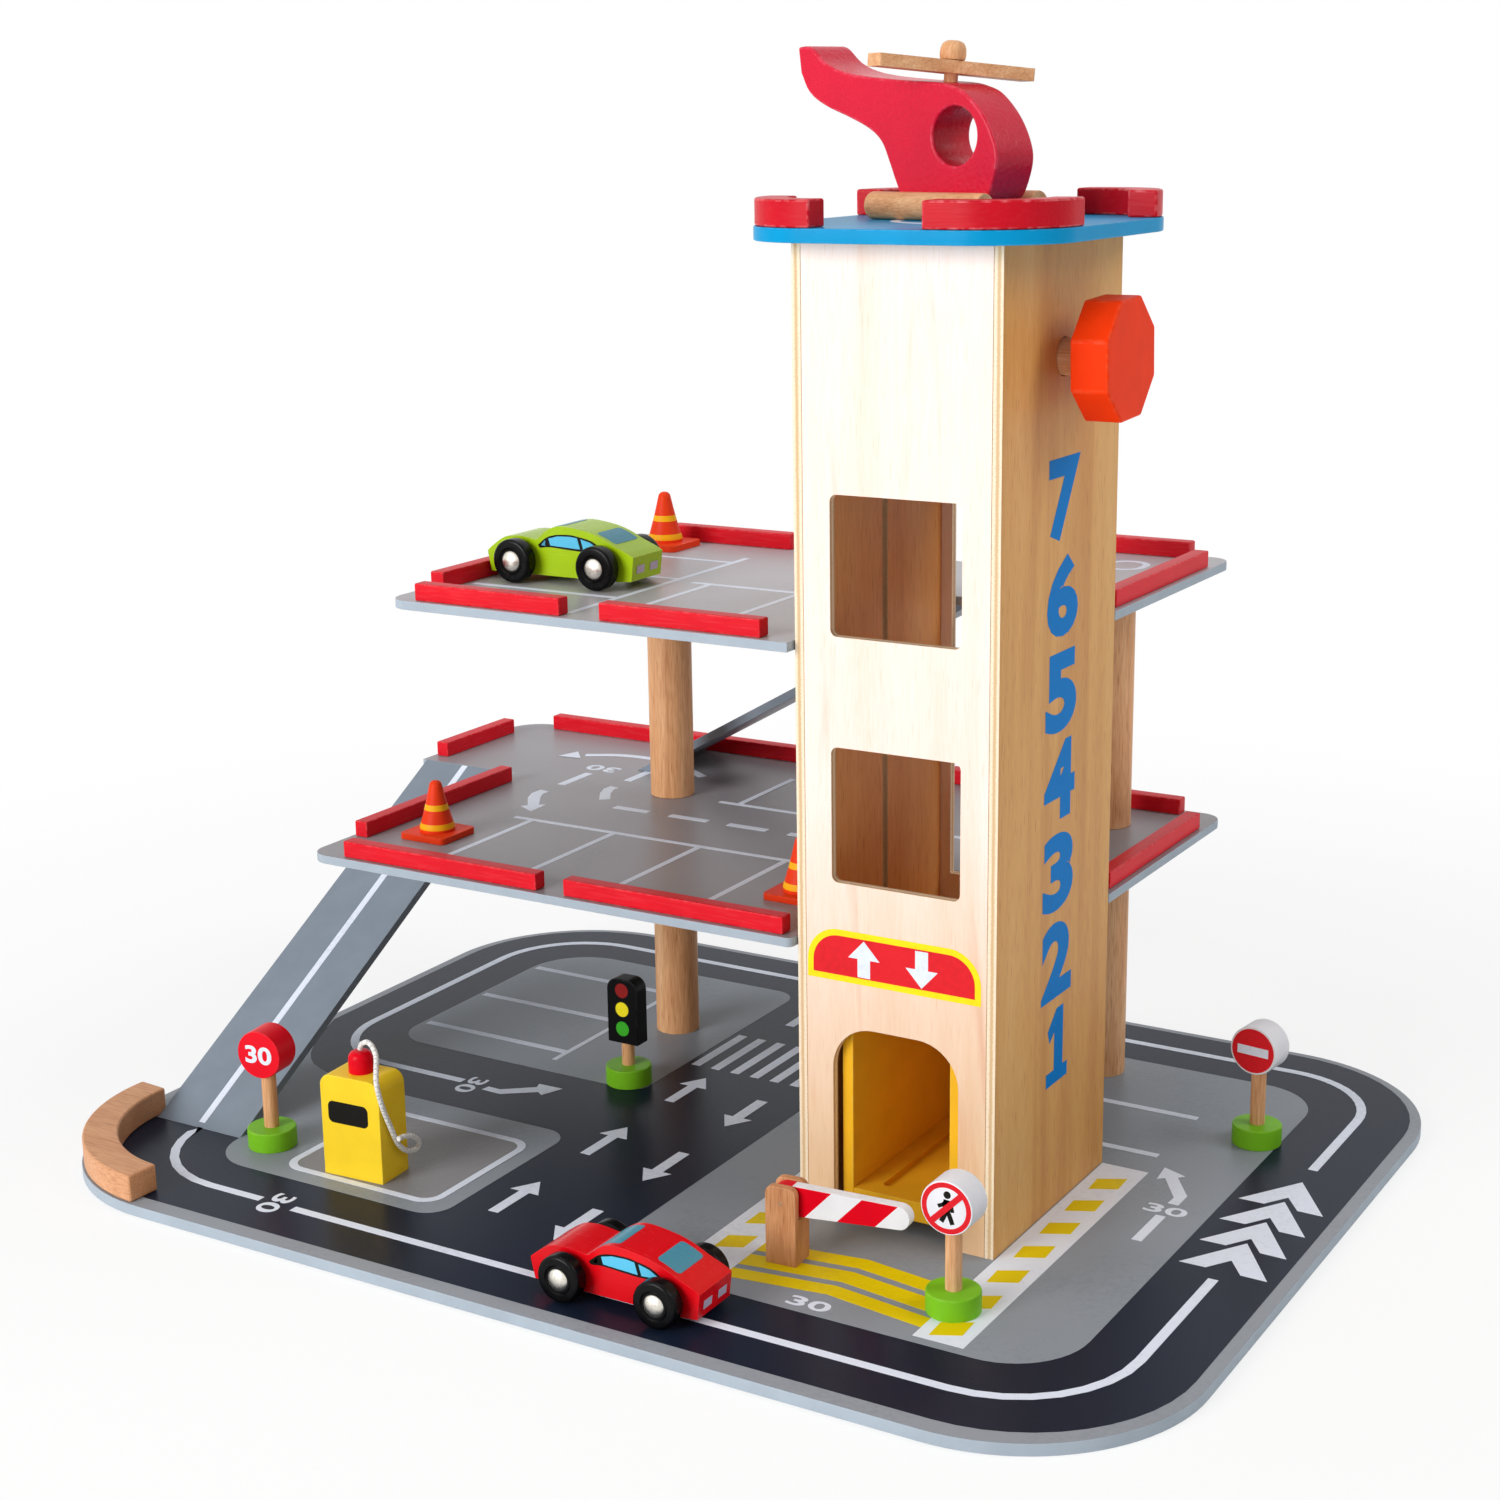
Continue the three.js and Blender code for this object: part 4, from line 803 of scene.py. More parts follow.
for name, x, y, turn, layer, tall in (
    ("road_number_pump", -141.3, -25, -90, 1, 9.5), ("road_number_left", -134, -169.5, -90, 1, 10),
    ("road_number_front", 105.5, -138.5, 0, 2, 7.5), ("road_number_right", 192.3, 4.9, 0, 2, 8),
):
    piece(name, numeral("30", 18, tall), line_ink,
          place=on_board @ at(x, y, layer * INK, turn))

# %% [markdown]
# ## Wheel stop and ramps
# The wheel stop is a quarter ring of beech: its section, a rectangle, is spun about the middle of
# the board's corner. A ramp is a wedge-footed slab, drawn from the side and drawn out across its
# width, with one pale line up its middle.

# %% The wheel stop
low, high = size("wheel_stop")
stop = bmesh.new()
section = [stop.verts.new((r, 0, z)) for r, z in ((60.2, 0), (75.6, 0), (75.6, 12.1), (60.2, 12.1))]
ring = [stop.edges.new(pair) for pair in zip(section, section[1:] + section[:1])]
start, reach = 175.5, 91.5
bmesh.ops.transform(stop, matrix=at(0, 0, 0, start), verts=section)
spun(stop, section + ring, math.radians(reach), 48, False)
bmesh.ops.holes_fill(stop, edges=[e for e in stop.edges if e.is_boundary], sides=4)
bmesh.ops.recalc_face_normals(stop, faces=stop.faces)
soften(stop, 1.1, 3)
piece("beech_wheel_stop", stop, stop_beech, "wheel_stop", at(-183.5, -123.5, low.z))

# %% The ramps
def ramp(solid, along):
    """A ramp that climbs along +X or +Y, feathered at its foot, with a line up its middle."""
    low, high = size(solid)
    run, rise, width = high[along] - low[along], high.z - low.z, high[1 - along] - low[1 - along]
    slope = rise / run
    thick = 4 * math.hypot(1, slope)
    slab = soften(sheet([[(0, 0), (thick / slope, 0), (run, rise - thick), (run, rise)]], width), 0.3)
    side = at(low.x, low.y, low.z) @ SIDEWAYS if along else at(low.x, high.y, low.z) @ FACING
    piece(f"{solid}_slab", slab, ramp_grey, solid, side)
    middle = (low[1 - along] + high[1 - along]) / 2
    foot = at(middle, low.y, low.z, 90) if along else at(low.x, middle, low.z)
    line = sheet([rectangle(3, math.hypot(run, rise) - 0.5, -1.75, 1.75)], 0.12)
    piece(f"{solid}_line", line, line_ink,
          place=foot @ Matrix.Rotation(-math.atan(slope), 4, "Y"))


ramp("lower_ramp", 1)
ramp("upper_ramp", 0)

# %% [markdown]
# ## Decks, rails and columns
# The decks are 4 mm ply: grey ink above, a paler lacquer round the edge. Red rails are glued a
# little in from the edges, with gaps for the cars, and four beech columns carry the decks. The
# rails and columns take their places from the frame's own solids.

# %% Decks
first, top = size("first_deck"), size("top_deck")
tower_left, tower_front = size("tower_left")[0].xy
tower_back, tower_right = size("tower_back")[1].y, size("tower_right")[1].x
notch, beside = tower_back + 0.5, tower_left - 0.5
ear_front, first_left, first_front = 81, -188, first[0].y
first_corners = [
    (first_left, first_front, 10), (beside, first_front, 3), (beside, notch), (tower_right, notch),
    (tower_right, first[1].y, 10), (first[0].x, first[1].y, 19), (first[0].x, ear_front),
    (first_left, ear_front),
]
step_x, mid_back = 75, 113
top_corners = [
    (top[0].x, top[0].y, 10), (beside, top[0].y), (beside, notch), (tower_right, notch),
    (tower_right, top[1].y, 10), (step_x, top[1].y), (step_x, mid_back), (top[0].x, mid_back, 10),
]
for name, corners, (low, high), tone in (("first_deck", first_corners, first, deck_ink),
                                         ("top_deck", top_corners, top, lit_top_deck_ink)):
    deck = ply([corners], high.z - low.z)
    piece(f"{name}_print", deck, (tone, pale_edge), name, at(0, 0, low.z))

# %% Lines on the decks
on_first, on_top = at(0, 0, first[1].z), at(0, 0, top[1].z)
front_rail, top_front = first_front + 9.5, top[0].y + 9.5
first_lines = lines(3, (-140, 15.7, beside - 1, 15.7),
                    *((x, 14.2, x, front_rail) for x in (-129.5, -83.6, -37.5, 7.4)))
first_lines += lines(4.4, (-108, 52, -88.8, 52), (-77, 52, -56, 52), (-45, 52, -24, 52),
                     (-12.5, 52, 8.5, 52), (19.5, 52, 41, 52), (-154, 73, -154, 97.5),
                     (-129, 94, -129, 116))
first_lines += [
    [(-130.6, 82.2), (-125.1, 81), (-125.7, 77.5), (-123.4, 71.5), (-117.7, 62.3), (-121.9, 59.1),
     (-128.1, 69), (-131.1, 76.7)],
    [(-157.3, 60.7), (-151.7, 59.6), (-151.9, 55), (-149.5, 49.5), (-142.3, 38.2), (-139.3, 39.8),
     (-139, 27.1), (-148.4, 32), (-146.6, 34.9), (-154.5, 46), (-157.6, 53.5)],
    *lines(3, (-68.8, 83.2, beside - 1, 83.2)),
]
turn_line = [(-100, 118, 0), (-118, 129, 0), (-136, 135.2, 0), (-158, 134.5, 0), (-176, 126, 0)]
bends = [strip(through(turn_line, 5), 4.4), *lines(3, (-58, 84.9, -58, 135))]
turn_head = [(-187.5, 117.9), (-183.5, 130.2), (-174.6, 119.6)]
printed("first_deck_bend", bends, line_ink, on_first, 1)
printed("first_deck_lines", first_lines, line_ink, on_first, 0)
printed("first_deck_arrow_head", [turn_head], line_ink, on_first, 2)
piece("first_deck_number", numeral("30", 18, 9), line_ink,
      place=on_first @ at(-153, 108, 0, 180))
top_lines = lines(3, (-47, 76, -47, top_front), *((-123, y, -48.5, y) for y in (63.5, 18, -30)),
                  (-37.7, 14, beside - 1, 14), *((x, 12.5, x, top_front) for x in (-28, 17.3)))
landing_mark = [rectangle(104, 124, 124, 148, 10), rectangle(107.2, 120.8, 127.2, 144.8, 6.8)]
printed("top_deck_lines", top_lines, line_ink, on_top, 0)
printed("top_deck_ring", [landing_mark], line_ink, on_top, 0)

# %% Rails and columns
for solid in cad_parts:
    low, high = size(solid)
    across, centre = high - low, (low + high) / 2
    if "_rail_" in solid:
        along = "x" if across.x > across.y else "y"
        piece(f"{solid}_bar", block(low, high), rail_red[along], solid)
    if solid.startswith("column_"):
        piece(f"{solid}_dowel", rod(across.x / 2, across.z, 0.5, 64), beech["z"], solid,
              at(centre.x, centre.y, low.z))

# %% [markdown]
# ## The tower
# Four ply walls, glued edge to edge. The front one has two windows and an arched door, the back
# one two openings to the decks. Inside, two pads on each side wall leave a slot that guides the
# lift, and the axle passes through both. Walls are sheets with holes, stood up on edge.

# %% The tower's walls
wall_low, wall_high = size("tower_front")
mid_x, mid_y = (wall_low.x + wall_high.x) / 2, (tower_front + tower_back) / 2
floor_z, tower_top = wall_low.z, wall_high.z
half_door, half_window, wall = 27.8, 27.9, 4


def window(bottom, height, low_radius=2.8):
    """A window's outline: the openings at the back have square sills."""
    return rectangle(mid_x - half_window, mid_x + half_window, bottom, bottom + height, low_radius, 2.8)


front_outline = [
    (wall_low.x, floor_z), (mid_x - half_door, floor_z), (mid_x - half_door, 91, 18),
    (mid_x + half_door, 91, 18), (mid_x + half_door, floor_z), (wall_high.x, floor_z),
    (wall_high.x, tower_top), (wall_low.x, tower_top),
]
back_outline = rectangle(wall_low.x, wall_high.x, floor_z, tower_top)
for solid, loops, y in (
    ("tower_front", [front_outline, window(150.6, 54.7), window(249.2, 54.7)], wall_high.y),
    ("tower_back", [back_outline, window(125.5, 79.8, 0), window(219.4, 84.6)], tower_back),
):
    piece(f"{solid}_sheet", ply(loops, wall), (birch, edge["y"]), solid, at(0, y, 0) @ FACING)

bore, half_slot, pad_thick = 7.4, 2.15, 7
for solid, start, pad_start in (("tower_left", tower_left, tower_left + wall),
                                ("tower_right", tower_right - wall, tower_right - wall - pad_thick)):
    side = [rectangle(tower_front, tower_back, floor_z, tower_top), circle(bore, mid_y, axle_z)]
    piece(f"{solid}_sheet", ply(side, wall, 4), (shaded_side_birch, edge["x"]), solid,
          at(start, 0, 0) @ SIDEWAYS)
    for end, face, far_y in (("front", -1, tower_front + wall), ("back", 1, tower_back - wall)):
        slot_y = mid_y + face * half_slot
        reach = math.acos(half_slot / bore)
        arc = [(mid_y + face * bore * math.cos(t), axle_z + bore * math.sin(t))
               for t in (reach * (1 - i / 8) for i in range(17))]
        pad = [(slot_y, floor_z), (far_y, floor_z), (far_y, tower_top), (slot_y, tower_top), *arc]
        piece(f"{solid}_pad_{end}", ply([pad], pad_thick, 4, 0.4), (shaft_shade_birch, edge["x"]),
              place=at(pad_start, 0, 0) @ SIDEWAYS)

# %% [markdown]
# ## Marks on the tower
# A plate is printed over the door: a yellow rim round a red field with round shoulders, and on
# it two white arrows, one up and one down, for the lift. Up the right side runs a column of
# plain blue numerals from 1 to 7, where a toy garage usually has its big marking.

# %% The plate and the numerals
def arched(inset):
    """The plate's outline with round shoulders, drawn in by an inset."""
    return rectangle(67.6 + inset, 144 - inset, 109.8 + inset, 131.3 - inset, 0, 14 - inset)


lift_arrows = [arrow((93, 112.9), (93, 128.1), 5.6, 7.6, 14),
               arrow((118.5, 128.1), (118.5, 112.9), 5.6, 7.6, 14)]
for layer, (name, loops, material) in enumerate((
    ("rim", [arched(0)], ink("yellow_rim", "#FFE21A")), ("field", [arched(2.6)], red_ink),
    ("arrows", lift_arrows, white_ink),
)):
    printed(f"door_plate_{name}", loops, material, at(0, tower_front, 0) @ FACING, layer)

one = [(-7.5, 8), (1, 16), (7.5, 16), (7.5, -10), (12, -10), (12, -16), (-8.5, -16), (-8.5, -10),
       (-1, -10), (-1, 6.5), (-5.5, 2.6)]
for value, height in enumerate((76, 113, 150, 187.5, 223.5, 261.5, 299.5), 1):
    digit = sheet([one], INK) if value == 1 else numeral(str(value), 29, 32, 0.045, 4 if value == 6 else 12)
    piece(f"tower_numeral_{value}", digit, blue_ink,
          place=at(tower_right - SUNK, 0, 0) @ SIDEWAYS @ at(-15, height, 0))

# %% [markdown]
# ## The roof
# A blue board with round corners overhangs the tower. On each corner sits a red quarter ring
# that fences the helicopter in; each has a straight end or two where the real ones are longer.

# %% The roof
low, high = size("roof_board")
corner_radius, fence_inside, fence_outside = 32.8, 20.3, 32.3
on_roof = at(0, 0, high.z)
roof = soften(sheet([rectangle(low.x, high.x, low.y, high.y, corner_radius)], high.z - low.z, 20), 0.5)
piece("roof_panel", roof, roof_blue, "roof_board", at(0, 0, low.z))
ring_mark = [circle(27, mid_x, mid_y), circle(23.4, mid_x, mid_y)]
bar_mark = rectangle(mid_x - 9, mid_x + 9, mid_y - 2.2, mid_y + 2.2)
printed("roof_ring", [ring_mark, bar_mark], white_ink, on_roof)


def quarter(x, y, sign_x, sign_y, radius):
    """A quarter circle from the front or back of a corner round to its side."""
    return [(x + sign_x * radius * math.sin(t), y + sign_y * radius * math.cos(t))
            for t in (k / 40 * math.pi for k in range(21))]


arc_ends = {"front_left": (4.5, 3.2), "front_right": (12.9, 8.1), "back_left": (8.1, 3.9),
            "back_right": (9.7, 0)}
for corner, (end_x, end_y) in arc_ends.items():
    sign_x, x = (-1, low.x + corner_radius) if "left" in corner else (1, high.x - corner_radius)
    sign_y, y = (-1, low.y + corner_radius) if "front" in corner else (1, high.y - corner_radius)
    outer, inner = (quarter(x, y, sign_x, sign_y, radius) for radius in (fence_outside, fence_inside))
    loop = [(x - sign_x * end_x, outer[0][1]), *outer]
    if end_y:
        loop += [(arc[-1][0], y - sign_y * end_y) for arc in (outer, inner)]
    loop += [*inner[::-1], (x - sign_x * end_x, inner[0][1])]
    fence = soften(sheet([loop], 10.3, 4), 0.9, 3)
    piece(f"roof_arc_{corner}_bar", fence, arc_red, f"roof_arc_{corner}", on_roof)

# %% [markdown]
# ## The lift
# The cage is stained yellow: a floor with two grooves for a car's wheels, two sides, a bar across
# the top that the string is tied to, and four pegs that run in the tower's slots. The grooves
# are cut with a Boolean modifier, because they end in a half round in the middle of the floor.

# %% The cage
low, high = size("lift_cage")
cage_left, cage_right, floor_thick, side_thick = 80.15, 133.15, 8.7, 5
inner_left, inner_right = cage_left + side_thick, cage_right - side_thick
groove_depth, peg_inset = 2.2, 14
cage_body = soften(sheet([rectangle(inner_left, inner_right, low.y, high.y)], floor_thick), 0.4)
cage_floor = piece("cage_floor", cage_body, cage_yellow, "lift_cage", at(0, 0, low.z),
                   "lift")
groove_bm = bmesh.new()
for x in (96.15, 117.15):
    sheet([rectangle(x - 2.3, x + 2.3, -58, high.y + 5, 2.3, 0)], 5, 8, groove_bm)
groove_place = Matrix.Scale(MM, 4) @ at(0, 0, low.z + floor_thick - groove_depth)
bmesh.ops.transform(groove_bm, matrix=groove_place, verts=groove_bm.verts)
cutter = bpy.data.objects.new("groove_cutter", bpy.data.meshes.new("groove_cutter"))
groove_bm.to_mesh(cutter.data)
groove_bm.free()
scene.collection.objects.link(cutter)
cut = cage_floor.modifiers.new("grooves", "BOOLEAN")
cut.operation, cut.solver, cut.object = "DIFFERENCE", "EXACT", cutter
cage_floor.modifiers.move(1, 0)
bpy.context.view_layer.update()
grooved = bpy.data.meshes.new_from_object(cage_floor.evaluated_get(bpy.context.evaluated_depsgraph_get()))
cage_floor.modifiers.remove(cut)
cage_floor.data = grooved
bpy.data.objects.remove(cutter)
print("grooved floor:", len(grooved.polygons), "faces")

for name, corners in (
    ("side_left", ((cage_left, low.y, low.z), (inner_left, high.y, high.z))),
    ("side_right", ((inner_right, low.y, low.z), (cage_right, high.y, high.z))),
    ("bar", ((inner_left, mid_y - 11, high.z - 8), (inner_right, mid_y + 11, high.z - 0.01))),
):
    piece(f"cage_{name}", block(*corners), cage_yellow, body="lift")
for level, height in (("low", low.z + peg_inset), ("high", high.z - peg_inset)):
    for end, x in (("left", low.x), ("right", cage_right - 2)):
        piece(f"cage_peg_{end}_{level}", rod(1.8, high.x - cage_right + 2, 0.3, 24), beech["x"],
              place=at(x, mid_y, height) @ ALONG_X, body="lift")

# %% The crank
low, high = size("crank_axle")
axle = rod((high.z - low.z) / 2, high.x - low.x, 0.5, 64)
piece("axle_dowel", axle, beech["x"], "crank_axle", at(low.x, axle_y, axle_z) @ ALONG_X, "crank")
low, high = size("crank_knob")
# An octagon, 45 mm across its flats, that rests with one of them 3 degrees off level
knob = rod(45 / 2 / math.cos(math.pi / 8), high.x - low.x, 1.0, 8, 3)
knob_turn = Matrix.Rotation(math.radians(3), 4, "X") @ ALONG_X @ Matrix.Rotation(math.pi / 8, 4, "Z")
piece("octagon_knob", knob, knob_orange, "crank_knob",
      at(low.x, axle_y, axle_z) @ knob_turn, "crank")

# %% [markdown]
# ## The helicopter
# Its body is sawn from a 22 mm board along one flowing line, bored through for a cabin, and painted crimson.
# A flat beech blade turns on a mushroom pin, and the body stands between two dowels. The line is a smooth
# curve through listed places, and a bevel rounds its edges.

# %% The helicopter's body
heli = on_roof @ at(98.3, -5.2, 0, -15)
long, tall = 104, 65.8
back_line = [
    (-0.713, 1), (-0.645, 0.996), (-0.57, 0.907), (-0.482, 0.853), (-0.365, 0.821), (-0.193, 0.796),
    (0, 0.775), (0.082, 0.749), (0.137, 0.713), (0.196, 0.634), (0.243, 0.541), (0.277, 0.433),
    (0.288, 0.34), (0.272, 0.233), (0.24, 0.13), (0.18, 0.062),
]
belly_line = [
    (-0.165, 0.062), (-0.193, 0.169), (-0.215, 0.24), (-0.243, 0.337), (-0.279, 0.442), (-0.338, 0.514),
    (-0.438, 0.58), (-0.572, 0.655), (-0.655, 0.734), (-0.699, 0.847),
]
heli_outline = [(p.x, p.y) for line in (back_line, belly_line)
                for p in through([(x * long, z * tall, 0) for x, z in line], 4)]
fuselage = soften(sheet([heli_outline, circle(11, 8.74, 31.3)], 22), 1.1, 3, 50)
piece("helicopter_fuselage", fuselage, heli_red, "helicopter_body",
      heli @ at(0, 11, 0) @ FACING, "helicopter")
for end, y in (("front", -15.9), ("rear", 15.9)):
    piece(f"skid_{end}_dowel", rod(5.3, 57.6, 0.7, 40), beech["x"], f"skid_{end}",
          heli @ at(-28.8, y, 5.3) @ ALONG_X, "helicopter")

# %% The rotor
lean, aim = math.radians(5.5), math.radians(68)
axis = Vector((math.sin(lean) * math.cos(aim), math.sin(lean) * math.sin(aim), math.cos(lean)))
leant = Vector((0, 0, 1)).rotation_difference(axis).to_matrix().to_4x4()
rotor_place = heli @ at(-2.5, 0, 54.1) @ leant
blade = soften(sheet([rectangle(-33, 33, -5.75, 5.75, 0.6), circle(3.2, count=24)], 4.8, 3), 0.5)
piece("rotor_blade_strip", blade, beech["y"], "rotor", rotor_place @ at(0, 0, 0, 68),
      "rotor_blade")
pin_profile = [
    (0, -11.6), (2.5, -11.6), (2.7, -11.3), (2.7, 5.2), (4.69, 5.2), (4.95, 5.9), (5.1, 7.0), (5.05, 8.3),
    (4.9, 9.5), (4.45, 10.7), (3.77, 11.53), (2.9, 12.05), (2.04, 12.3), (1, 12.4), (0, 12.4),
]
piece("rotor_pin_mushroom", turned(pin_profile, 40), beech["z"], "rotor_pin", rotor_place,
      "helicopter")

# %% [markdown]
# ## Signs and the traffic light
# Each sign is three turned pieces: a green foot, a beech post and a thick disc. The discs carry a
# plain speed number, a no-entry bar and a walker with a slash, and the light three dots. They
# are printed on the discs as thin layers, and the walker is built of a few strips and a dot.

# %% Feet, posts and discs
def foot_and_post(name, place, body, stands_for, post_radius, post_top):
    """The green foot and the post that the signs and the light share."""
    piece(f"{name}_foot", rod(10.75, 9.2, 0.8, 64), green_foot, stands_for, place, body)
    piece(f"{name}_post", rod(post_radius, post_top - 9, 0.2, 32), beech["z"],
          place=place @ at(0, 0, 9), body=body)


disc_height, disc_thick = 44.5, 13
faces = {}
for name, body, x, y, turn, paint in (
    ("sign_red", "red_disc_sign", -176.1, -123.1, 7.5, sign_red),
    ("sign_no_entry", "no_entry_sign", 200.6, 89.3, -8, sign_white),
    ("sign_walker", "walker_sign", 155.4, -116.3, 0, sign_white),
):
    place = on_board @ at(x, y, 0, turn)
    faces[body] = place @ at(0, -disc_thick / 2, disc_height) @ FACING
    foot_and_post(name, place, body, name, 3.25, disc_height - 6)
    piece(f"{name}_disc", rod(10.8, disc_thick, 0.5, 72), paint,
          place=place @ at(0, disc_thick / 2, disc_height) @ FACING, body=body)

piece("sign_red_number", numeral("30", 13.5, 8.2, 0.03), white_ink,
      place=faces["red_disc_sign"] @ at(0, 0, -SUNK), body="red_disc_sign")
# The walker's trunk, two legs and two arms, each a line through its joints and a width
limbs = [
    ([(0.4, 3.4), (0.2, -0.9)], 3.2), ([(0.1, -0.8), (-0.9, -3.2), (-2.1, -5.7)], 1.9),
    ([(0.4, -0.8), (1.5, -3.2), (2.6, -6.1)], 1.9), ([(0.1, 3.1), (-1.5, 1.2), (-3.5, 0.3)], 1.5),
    ([(0.8, 2.9), (2.1, 0.9), (2.6, -1.2)], 1.5),
]
walker_ring = [circle(10.2, count=64), circle(8.2, count=64)]
for name, loop, material, layer, body in (
    ("no_entry_field", circle(9.9, count=64), red_ink, 0, "no_entry_sign"),
    ("no_entry_bar", rectangle(-7.3, 7.3, -2, 2), white_ink, 1, "no_entry_sign"),
    ("walker_ring", walker_ring, red_ink, 0, "walker_sign"),
    ("walker_slash", strip([(-6, -6), (6, 6)], 2.4), red_ink, 1, "walker_sign"),
    ("walker_figure", circle(1.5, 0.3, 5.4, 24), black_ink, 0, "walker_sign"),
    *((f"walker_limb_{i}", strip(*limb), black_ink, 0, "walker_sign") for i, limb in enumerate(limbs)),
):
    printed(name, [loop], material, faces[body], layer, body)

# %% The traffic light
light_place = on_board @ at(-78.6, 14.4, 0)
light_face = light_place @ at(0, -4.25, 0) @ FACING
foot_and_post("traffic_light", light_place, "light", "traffic_light", 3, 26)
head = soften(sheet([rectangle(-8.25, 8.25, 20.5, 52, 0.6, 5.4)], 8.5, 10), 0.5)
piece("traffic_light_head", head, lamp_black,
      place=light_place @ at(0, 4.25, 0) @ FACING, body="light")
for name, height, code in (("red", 46.5, "#8C1F1E"), ("yellow", 37.3, "#F4E225"), ("green", 27.8, "#3DAE2B")):
    printed(f"light_dot_{name}", [circle(3.55, 0, height, 40)], ink(f"{name}_dot", code), light_face, 0,
            "light")

# %% [markdown]
# ## The pump
# A yellow block with round shoulders, a dark window printed on its front, and a turned red cap
# that the hose comes out of.

# %% The pump
pump_place = on_board @ at(hose_start.x, hose_start.y, 0, 3.5)
pump = soften(sheet([rectangle(-15.3, 15.3, 0, 46, 0, 5.5)], 19, 10), 0.6)
piece("pump_block", pump, pump_yellow, "pump_body", pump_place @ at(0, 9.5, 0) @ FACING,
      "pump")
printed("pump_window", [rectangle(-11.4, 9.2, 24.6, 34.4, 2.6)], black_ink,
        pump_place @ at(0, -9.5, 0) @ FACING, 0, "pump")
cap_profile = [
    (0, 0), (5.2, 0), (5.4, 0.3), (5.4, 5.8), (5.25, 6.9), (4.9, 7.8), (4.3, 8.6), (3.5, 9.15),
    (2.7, 9.38), (1.3, 9.4), (0, 9.4),
]
piece("pump_cap_turned", turned(cap_profile), cap_red, "pump_cap", pump_place @ at(0, 0, 46),
      "pump")

# %% [markdown]
# ## The barrier
# A beech post, slotted for the arm, with a round pin through both cheeks. The arm is a white
# strip with a round end. Its red bands slant, so the strip is cut by slanting planes and the
# faces between them take the red lacquer: on its two broad sides only, as on the real one.

# %% The barrier
def cut_across(bm, place, normal):
    """Cuts every face of a piece where a plane meets it."""
    bmesh.ops.bisect_plane(bm, geom=bm.verts[:] + bm.edges[:] + bm.faces[:], dist=0.0001,
                           plane_co=place, plane_no=normal)


barrier_place = on_board @ at(78.988, -109.2, 0, 4)
half_post, half_cheek, half_slot, post_tall, slot_floor, pin_z = 6.7, 6.4, 2.9, 33.2, 19.2, 26.3
u_shape = [
    (-half_cheek, 0), (half_cheek, 0), (half_cheek, post_tall), (half_slot, post_tall),
    (half_slot, slot_floor), (-half_slot, slot_floor), (-half_slot, post_tall), (-half_cheek, post_tall),
]
post = sheet([u_shape], 2 * half_post)
bmesh.ops.transform(post, matrix=at(-half_post, 0, 0) @ SIDEWAYS, verts=post.verts)
tops = [e for e in post.edges if e.verts[0].co.x * e.verts[1].co.x > 0
        and min(v.co.z for v in e.verts) > post_tall - 0.1]
rounded(post, tops, 3.5, 8)
soften(post, 0.6, 2, 40)
piece("barrier_post_block", post, oiled_beech, "barrier_post", barrier_place, "barrier")
piece("barrier_pin_dowel", rod(1.25, 2 * half_cheek, 0.2, 24), beech["y"], "barrier_pin",
      barrier_place @ at(0, half_cheek, pin_z) @ FACING, "barrier")

# The arm's outline: a half circle about the pin, and a smaller one at the tip, a little higher
ends = []
for start, x, z, radius in ((math.pi / 2, 0, pin_z, 6.5), (-math.pi / 2, 48.5, pin_z + 1.7, 4.85)):
    angles = [start + i / 16 * math.pi for i in range(17)]
    ends += [(x + radius * math.cos(t), z + radius * math.sin(t)) for t in angles]
arm = soften(sheet([ends], 5), 0.35)
slant = Vector((1, -0.95, 0)).normalized()
cuts = [Vector(cut) for cut in ((-2.6, 26.3, 0), (14.2, 26.3, 0), (27.2, 26.3, 0), (43.6, 27.6, 0))]
for cut in cuts:
    cut_across(arm, cut, slant)
root, red_end, next_red, next_end = (slant.dot(cut) for cut in cuts)
for face in arm.faces:
    where = slant.dot(face.calc_center_median())
    banded = root < where < red_end or next_red < where < next_end
    if where < root or (banded and abs(face.normal.z) > 0.7):
        face.material_index = 1
piece("barrier_arm_strip", arm, (bar_white, bar_red), "barrier_arm",
      barrier_place @ at(0, 2.5, 0) @ FACING, "arm")

# %% [markdown]
# ## The cones
# A square plate and a turned cone, painted orange, with two amber bands. The bands are part of
# the turned profile's own rings, so their faces take the second paint.

# %% The cones
cone_profile = [
    (0, 0), (8.1, 0), (8.1, 4.3), (7.9, 5.5), (7.35, 6.9), (6.5, 9.9), (5.65, 12.9), (4.95, 15.5),
    (4.2, 18.5), (3.0, 23.7), (2.7, 24.9), (1.9, 25.8), (1.0, 26.2), (0, 26.3),
]
for solid, body in (("cone_first_left", "far_cone"), ("cone_first_right", "near_cone"),
                    ("cone_top", "high_cone")):
    low, high = size(solid)
    place = at((low.x + high.x) / 2, (low.y + high.y) / 2, low.z)
    plate = soften(sheet([rectangle(-12.5, 12.5, -12.5, 12.5, 2.5)], 3, 6), 0.4)
    piece(f"{solid}_plate", plate, cone_orange, solid, place, body)
    cone = turned(cone_profile)
    for face in cone.faces:
        height = face.calc_center_median().z
        face.material_index = 4.3 < height < 6.9 or 12.9 < height < 15.5
    piece(f"{solid}_body", cone, (cone_orange, cone_stripe), place=place, body=body)

# %% [markdown]
# ## The cars
# Two cars of one shape: a 23 mm block sawn along a smooth line, with rounded edges, and black
# wheels on thin axles. The side windows are printed flat, with a black outline and two pillars.
# The windscreen and the rear window follow the roof's curve, so they are strips of the same
# line, lifted a tenth of a millimetre.

